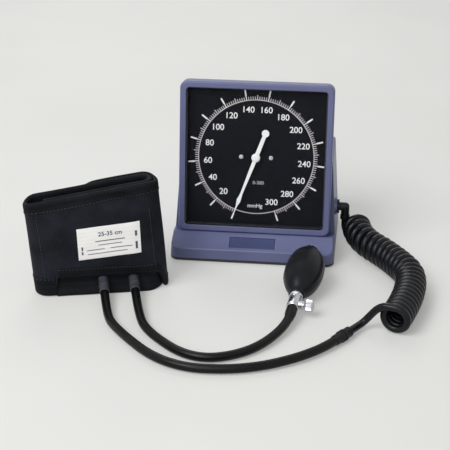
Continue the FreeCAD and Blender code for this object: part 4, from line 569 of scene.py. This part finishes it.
def band_strip(at, low, high, steps=44, turns=9):
    """The closed section of the band at each place along it: up its outer face, over a round edge, down its inner face
    and round again. Gives the points and their cloth coordinates."""
    rise, edge = np.linspace(0, 1, steps), np.linspace(0, np.pi, turns)[1:-1]
    share = np.concatenate([rise, np.ones(turns - 2), rise[::-1], np.zeros(turns - 2)])
    side = np.concatenate([np.ones(steps), np.cos(edge), -np.ones(steps), -np.cos(edge)])
    bulge = np.concatenate([np.zeros(steps), np.sin(edge), np.zeros(steps), -np.sin(edge)])
    z = (low + HALF)[:, None] + share * (high - low - 2 * HALF)[:, None] + HALF * bulge
    along = np.broadcast_to(at[:, None], z.shape)
    points = cuff_skin(along, np.broadcast_to(HALF * side, z.shape), z)
    return points, np.stack([along, z + 300 * (side < 0)], -1)


def edge_tape(at, edge, sign, wide, thick=0.4):
    """Binding folded over an edge of the band: from wide mm inside the edge on the outer face, round it, to the inner
    face, thick mm clear of the cloth, and back just under its surface. sign is 1 at an upper edge, -1 at a lower."""
    bend = np.linspace(0, np.pi, 11)
    reach = np.linspace(-wide, 0, 6)[:-1]

    def fold(size):
        """One skin of the tape: straight up one face, a half circle of radius size over the edge, straight down."""
        side = np.concatenate([np.full(5, size), size * np.cos(bend), np.full(5, -size)])
        rise = np.concatenate([reach, size * np.sin(bend), reach[::-1]])
        return side, rise
    outer, inner = fold(HALF + thick), fold(HALF - 0.3)
    side = np.concatenate([outer[0], inner[0][::-1]])
    rise = np.concatenate([outer[1], inner[1][::-1]])
    z = (edge - sign * HALF)[:, None] + sign * rise
    along = np.broadcast_to(at[:, None], z.shape)
    points = cuff_skin(along, np.broadcast_to(side, z.shape), z)
    return points, np.stack([along, np.broadcast_to(np.cumsum(np.abs(np.diff(rise, prepend=rise[0]))), z.shape)], -1)


def stitches(at, z, out=HALF + 0.1, half=1.3, thick=0.38, climb=None):
    """A row of stitches on the band's outer face: each a bead, half mm long each way, round its own line, which runs
    along the band or, where climb is given, by that much along and up."""
    along = np.array([-1, -0.8, 0, 0.8, 1])[:, None]
    girth = thick * np.sqrt(np.maximum(1 - along ** 4, 0.04))
    turn = np.linspace(0, 2 * np.pi, 6, endpoint=False)
    run, rise = (1.0, 0.0) if climb is None else climb
    shape_out = np.broadcast_to(out + girth * np.cos(turn), (len(at), 5, 6))
    step, aside = half * along + 0 * turn, girth * np.sin(turn)
    return patch(cuff_skin(at[:, None, None] + run * step - rise * aside, shape_out,
                           z[:, None, None] + rise * step + run * aside))


def on_front(u):
    """Length along the band at which the outer front layer passes u."""
    return FRONT_START + RIGHT_END - u


rows = np.linspace(0, WAY_AT[-1], 340)
band_points, band_threads = band_strip(rows, cuff_hem(rows), cuff_top(rows))
cuff = piece("cuff_band", [patch(band_points)], cuff_nylon, stands_for=["cuff_wrap"],
             threads=[band_threads])

# Bindings of the upper edge, of the flap and the front hem, of the left end as far as under the flap, and of the inner
# front layer.
hem_rows = np.linspace(0, FRONT_START + 94, 200)
foot_rows = np.linspace(FRONT_START + 98, BACK_START + 44, 80)
inner_rows = np.linspace(INNER_START - 10, INNER_START + 98, 100)
tapes = [edge_tape(rows, cuff_top(rows), 1, EDGE_TAPE), edge_tape(hem_rows, cuff_hem(hem_rows), -1, EDGE_TAPE),
         edge_tape(foot_rows, cuff_hem(foot_rows), -1, FOOT_TAPE),
         edge_tape(inner_rows, cuff_hem(inner_rows), -1, FOOT_TAPE)]
piece("cuff_edge_binding", [patch(points) for points, threads in tapes], binding,
      threads=[threads for points, threads in tapes])

# Seams on the bindings of the upper edge, the front hem, the flap and the left end, then both sides of the border.
top_seam = np.arange(6, BACK_START + 42, STITCH_GAP)
hem_seam = on_front(np.arange(30, 128, STITCH_GAP))
flap_seam = np.arange(4, FRONT_START - 20, STITCH_GAP)
foot_seam = np.arange(FRONT_START + 101, BACK_START + 42, STITCH_GAP)
side_levels = np.arange(24, 96, STITCH_GAP)
edge_seam, wide_seam, on_tape = EDGE_TAPE - SEAM_INSET, FOOT_TAPE - SEAM_INSET, HALF + 0.45
piece("cuff_stitching", [
    stitches(top_seam, cuff_top(top_seam) - HALF - edge_seam, on_tape),
    stitches(hem_seam, cuff_hem(hem_seam) + HALF + edge_seam, on_tape),
    stitches(flap_seam, cuff_hem(flap_seam) + HALF + edge_seam, on_tape),
    stitches(foot_seam, cuff_hem(foot_seam) + HALF + wide_seam, on_tape),
    *(stitches(on_front(np.full(len(side_levels), u)), side_levels, climb=(0.0, 1.0)) for u in (15.0, 127.0))],
    thread)


# ----------------------------------------------------------------------------------- label, hook tape and hose ends

LABEL_U, LABEL_Z, LABEL_HALF_X, LABEL_HALF_Y = 79.2, 60.3, 31.8, 17.4
LABEL_RISE, LABEL_LEAN = math.radians(4.7), math.radians(1.7)


def on_label(x, y, lift):
    """Places on the front of the cuff in the label's own millimetres, lift mm above the cloth."""
    z = LABEL_Z + x * math.sin(LABEL_RISE) + y * math.cos(LABEL_LEAN)
    u = LABEL_U + x * math.cos(LABEL_RISE) - y * math.sin(LABEL_LEAN) + CUFF_LEAN * z
    return cuff_skin(on_front(u), HALF + lift, z)


def label_card(thick=0.5, steps=22):
    """A thin card that follows the cuff: its face from one long edge to the other and back under itself."""
    across = np.linspace(-1, 1, steps)
    lift = np.concatenate([np.full(steps, thick), np.zeros(steps)])
    lift[[0, steps - 1]] = thick / 2
    x, y = np.meshgrid(np.linspace(-LABEL_HALF_X, LABEL_HALF_X, 2 * steps),
                       LABEL_HALF_Y * np.concatenate([across, across[::-1]]), indexing="ij")
    return on_label(x, y, np.broadcast_to(lift, x.shape)), np.stack([x, y], -1)


def letters(text, size, bold=0.0):
    """Points and faces of a line of lettering, in mm about its own middle, as Blender makes a mesh of a text."""
    curve = bpy.data.curves.new("letters", "FONT")
    curve.body, curve.size, curve.extrude, curve.offset = text, size, 0.06, bold
    curve.align_x, curve.align_y = "CENTER", "CENTER"
    maker = bpy.data.objects.new("letters", curve)
    scene.collection.objects.link(maker)
    return take_mesh(maker)


def bars(x, y, half_x, half_y):
    """Flat bars on the label, each a grid of 12 by 2 points closed underneath."""
    reach = np.linspace(-1, 1, 12)[None, :, None]
    side, lift = np.array([-1, 1, 1, -1]), np.array([0.62, 0.62, 0.4, 0.4])
    column = np.asarray(x, float)[:, None, None] + np.asarray(half_x, float)[:, None, None] * reach + 0 * side
    row = np.asarray(y, float)[:, None, None] + np.asarray(half_y, float)[:, None, None] * side + 0 * reach
    return patch(on_label(column, row, np.broadcast_to(lift, column.shape)))


card, card_threads = label_card()
piece("cuff_label_card", [patch(card)], satin, stands_for=["cuff_label"], threads=[card_threads])
words, word_faces = letters("25-35 cm", 6.4, 0.12)
print_points = on_label(words[:, 0] + 1.5, words[:, 1] + 8.6, 0.56 + words[:, 2])
piece("cuff_label_print", [
    (print_points, word_faces),
    bars([1, 1, -14, 12, -2], [1.4, -2.9, -7.6, -7.6, -12], [15, 12, 9, 11, 20], [0.45, 0.35, 0.35, 0.35, 0.35]),
    bars([-27.5, -27.5, 27.5, 27.5], [-5, -10, 5, -8], [0.8, 0.8, 1.1, 1.1], [2, 1.7, 2.8, 4])],
    label_ink)

# Hook tape on the back layer under the flap: up its face and down behind it.
hook_rise = np.linspace(20, 88, 30)
hook_u, hook_z = np.meshgrid(np.linspace(52, 97, 30), np.concatenate([hook_rise, hook_rise[::-1]]), indexing="ij")
hook_out = np.broadcast_to(np.repeat([HALF + 0.85, HALF + 0.1], 30), hook_u.shape)
piece("hook_tape_strip", [patch(cuff_skin(BACK_START + hook_u - LEFT_END, hook_out, hook_z))], hook_nylon,
      stands_for=["hook_tape"], threads=[np.stack([hook_u, hook_z], -1)])


def bladder_tube(end, before):
    """A bladder tube: a sleeve with two beads, turned about the last run of its hose, from over the hose to inside the
    hem."""
    way = np.subtract(end, before) / np.linalg.norm(np.subtract(end, before))
    across = np.cross(way, UP) / np.linalg.norm(np.cross(way, UP))
    profile = [(4.4, -13), (5.0, -12.6), (5.2, -11.6), (5.0, -10.6), (4.9, -4), (5.3, -2.5), (5.3, -1), (4.9, 0),
               (5.0, 6), (5.4, 11), (3, 11.4)]
    return patch(placed(lathe(soften(profile, 0.6), 48), np.array(end), np.array([across, np.cross(way, across), way])))


piece("bladder_tubes", [bladder_tube(CUFF_HOSE[-1], CUFF_HOSE[-2]), bladder_tube(BULB_HOSE[-1], BULB_HOSE[-2])],
      highlit_tube_rubber, stands_for=["cuff_bladder"])


# ------------------------------------------------------------------------------------------------------------ dial

# The scale: direction of its zero and its sweep in degrees, its full value, and the radii of its ring and its numbers.
ZERO_WAY, SWEEP, FULL_SCALE, RING_RADIUS, NUMBER_RADIUS = 250, 320, 300, 62, 52


def scale_angle(value):
    """Direction of a pressure on the dial: zero lies left of straight down, and the sweep runs clockwise from it."""
    return np.radians(ZERO_WAY - np.asarray(value, float) * SWEEP / FULL_SCALE)


def dial_ticks(values, inner, outer, half):
    """Radial bars of the scale, each a flat box between two radii."""
    along = np.stack([np.cos(scale_angle(values)), np.sin(scale_angle(values))], -1)[:, None, None]
    aside = along[..., ::-1] * np.array([-1, 1])
    radius = np.array([inner, outer])[:, None, None]
    side, level = half * np.array([-1, 1, 1, -1])[:, None], np.array([0.12, 0.12, 0.02, 0.02])
    flat = radius * along + side * aside
    box = np.concatenate([flat, np.broadcast_to(level[:, None], flat.shape[:-1] + (1,))], -1)
    return patch(placed(box, DIAL_SPOT, DIAL_AXES))


def dial_words(text, x, y, size, bold=0.0):
    """Lettering printed on the dial, upright, with its middle at x, y."""
    points, faces = letters(text, size, bold)
    return placed(points + np.array([x, y, 0.08]), DIAL_SPOT, DIAL_AXES), faces


major = np.arange(0, FULL_SCALE + 1, 20)
middle = np.arange(10, FULL_SCALE, 20)
fine = np.setdiff1d(np.arange(0, FULL_SCALE + 1, 2), np.concatenate([major, middle]))
ring_profile = np.array([(61.5, 0.02), (62.4, 0.02), (62.4, 0.12), (61.5, 0.12)])
ring = patch(placed(lathe(ring_profile, 240), DIAL_SPOT, DIAL_AXES), ring=True)
piece("dial_fine_scale", [ring, dial_ticks(fine, RING_RADIUS, 65.6, half=0.42),
                          dial_ticks(middle, RING_RADIUS, 67.2, half=0.5)], print_grey)
numbers = [dial_words(str(value), NUMBER_RADIUS * math.cos(way), NUMBER_RADIUS * math.sin(way), size=9.2, bold=0.1)
           for value, way in zip(major, scale_angle(major))]
piece("dial_numbers", [dial_ticks(major, RING_RADIUS, 68, half=0.45), dial_ticks(major, 66.5, 73.4, half=0.85),
                       *numbers, dial_words("mmHg", 0, -53.5, size=6.0, bold=0.05)], print_white)
piece("dial_range", [dial_words("0-300", 3, -28, size=5.2)], print_grey)


def pointer_shape():
    """The pointer's blade: half its width along its length is the widest of the tapering arm, the spade, the hub disc
    and the tail disc, and its upper edges are chamfered."""
    x = np.unique(np.concatenate([np.linspace(-32.5, 70, 260), np.linspace(-32.5, -24.5, 60), np.linspace(-5, 5, 60)]))
    arm = np.interp(x, [-28.5, -4, 42, 51, 57.5, 70], [2.0, 2.3, 1.3, 2.2, 0.8, 0.3])
    arm = np.where(x < -28.5, 0, arm)
    disc = lambda middle, radius: np.sqrt(np.maximum(radius ** 2 - (x - middle) ** 2, 0))
    half = np.maximum(np.maximum(arm, disc(0, 4.7)), np.maximum(disc(-28.5, 4.0), 0.05))[:, None]
    bevel = np.minimum(0.25, 0.4 * half)
    side = np.hstack([-half, -half, -half + bevel, half - bevel, half, half])
    level = np.broadcast_to(np.array([3.4, 3.8, 4.0, 4.0, 3.8, 3.4]), side.shape)
    turn = math.radians(ZERO_WAY)
    along = x[:, None]
    return np.stack([along * math.cos(turn) - side * math.sin(turn), along * math.sin(turn) + side * math.cos(turn),
                     level], -1)


piece("pointer_blade", [patch(placed(pointer_shape(), DIAL_SPOT, DIAL_AXES))], enamel, body="pointer",
      stands_for=["pointer"], crease=25)
cap_profile = soften([(0.05, 4.0), (4.3, 4.0), (4.3, 4.7), (3.4, 5.4), (1.2, 5.6), (0.05, 5.6)], 0.6)
piece("pointer_hub_cap", [patch(placed(lathe(cap_profile, 64), DIAL_SPOT, DIAL_AXES))], enamel, body="pointer",
      stands_for=["pointer_cap"])


def slotted_head(x, y, level, radius, height, slot=0.7):
    """A slotted screw head: a low disc for the slot's floor and two half domes, each an outline of an arc and a chord
    drawn in twice as it rises."""
    floor = lathe([(0.05, level), (radius, level), (radius, level + 0.45 * height), (0.05, level + 0.45 * height)], 40)
    start = math.asin(slot / 2 / radius)
    turn = np.linspace(start, np.pi - start, 25)
    edge = np.column_stack([radius * np.cos(turn), radius * np.sin(turn)])
    middle = np.array([0, radius * 0.5])
    levels, draws = np.array([0.4, 0.7, 0.92, 1.0]), np.array([1, 1, 0.9, 0.72])
    flat = middle + (edge - middle) * draws[:, None, None]
    flat[..., 1] = np.maximum(flat[..., 1], slot / 2)
    dome = np.concatenate([flat, np.broadcast_to((level + height * levels)[:, None, None], (4, 25, 1))], -1)
    shift = np.array([x, y, 0])
    return [patch(placed(part + shift, DIAL_SPOT, DIAL_AXES)) for part in (floor, dome, dome * np.array([-1, -1, 1]))]


dial_screws = [part for x in (-16, 16) for part in slotted_head(x, y=0, level=0.0, radius=2.3, height=1.4)]
piece("dial_screw_heads", dial_screws, zinc, stands_for=["dial_screws"])


# --------------------------------------------------------------------------------------- finishes of the CAD nodes

FINISHES = {
    slate_abs: ("bezel", "stand_shell"),
    dark_abs: ("rear_case", "base_plate", "window_spacer"),
    plate_abs: ("name_plate",),
    window_acrylic: ("dial_window",),
    dial_paint: ("dial_plate",),
    zinc: ("case_screws", "stand_screws", "base_screws"),
    brass: ("movement_back_plate", "movement_front_plate", "movement_pillars", "movement_posts", "dial_posts",
            "sector_gear", "capsule_stud", "inlet_pipe"),
    ground_steel: ("pinion_arbor", "sector_arbor", "rocking_lever", "capsule_pin", "hairspring", "intake_ball",
                   "outlet_ball"),
    bronze: ("capsule",),
    chrome: ("intake_stop",),
    mat_rubber: ("base_mat",),
    fitting_nylon: ("hose_elbow", "elbow_nut"),
}
for finish, names in FINISHES.items():
    for name in names:
        nodes[name].data.materials.clear()
        nodes[name].data.materials.append(finish)


# -------------------------------------------------------------------------------------------------- floor and light

# The floor in metres, and the share of its even tone, which lifts it under its soft shadows.
FLOOR_HALF, FLOOR_LEVEL, FLOOR_EVEN = 6, -0.0004, 0.3


def direct_rays(tree):
    """1 on rays that reach the camera straight, mirrored or through a clear piece, and 0 on those that only light."""
    rays = add(tree, "LightPath").outputs
    seen = add(tree, "Math", {0: rays["Is Camera Ray"], 1: rays["Is Glossy Ray"]}, operation="MAXIMUM").outputs[0]
    return add(tree, "Math", {0: seen, 1: rays["Is Transmission Ray"]}, operation="MAXIMUM").outputs[0]


# Matt paper under the object: pale, with a barely seen mottle.
floor_paper, floor_tree = blank("floor_paper_matt")
speck = add(floor_tree, "TexNoise", {"Vector": add(floor_tree, "TexCoord").outputs["Object"], "Scale": 4.0}).outputs[0]
paper = add(floor_tree, "MixRGB", {"Fac": speck, "Color1": linear("#dfdfdc"), "Color2": linear("#e9e9e6")}).outputs[0]
shaded = add(floor_tree, "BsdfPrincipled", {"Base Color": paper, "Roughness": 0.9}).outputs[0]
even = add(floor_tree, "Emission", {"Color": paper, "Strength": 1.0}).outputs[0]
share = add(floor_tree, "Math", {0: direct_rays(floor_tree), 1: FLOOR_EVEN}, operation="MULTIPLY").outputs[0]
blend = add(floor_tree, "MixShader", {0: share, 1: shaded, 2: even}).outputs[0]
add(floor_tree, "OutputMaterial", {"Surface": blend})
floor_mesh = bpy.data.meshes.new("floor")
floor_mesh.from_pydata([(x * FLOOR_HALF, y * FLOOR_HALF, FLOOR_LEVEL) for x, y in ((-1, -1), (1, -1), (1, 1), (-1, 1))],
                       [], [(0, 1, 2, 3)])
floor_mesh.materials.append(floor_paper)
floor = bpy.data.objects.new("floor", floor_mesh)
scene.collection.objects.link(floor)


def soft_lamp(name, spot, target, size, watts):
    """A square soft box, size metres wide, at spot, facing target, both in mm."""
    lamp = bpy.data.lights.new(name, "AREA")
    lamp.size, lamp.energy = size, watts
    made = bpy.data.objects.new(name, lamp)
    made.location = Vector(spot) * MM
    made.rotation_euler = (Vector(spot) - Vector(target)).to_track_quat("Z", "Y").to_euler()
    scene.collection.objects.link(made)


soft_lamp("key", (-1110, -1370, 2080), target=(-20, -80, 60), size=1.4, watts=38)
soft_lamp("front", (-620, -2580, 1760), target=(-20, -80, 60), size=1.8, watts=25)
soft_lamp("back", (-300, 1100, 1100), target=(0, -20, 80), size=0.8, watts=5)

world = bpy.data.worlds.new("studio")
world.use_nodes = True
scene.world = world
sky = world.node_tree
sky.nodes.clear()
dim = add(sky, "Background", {"Color": linear("#ffffff"), "Strength": 0.36}).outputs[0]
pale = add(sky, "Background", {"Color": linear("#ecece9"), "Strength": 1.0}).outputs[0]
add(sky, "OutputWorld", {"Surface": add(sky, "MixShader", {0: direct_rays(sky), 1: dim, 2: pale}).outputs[0]})
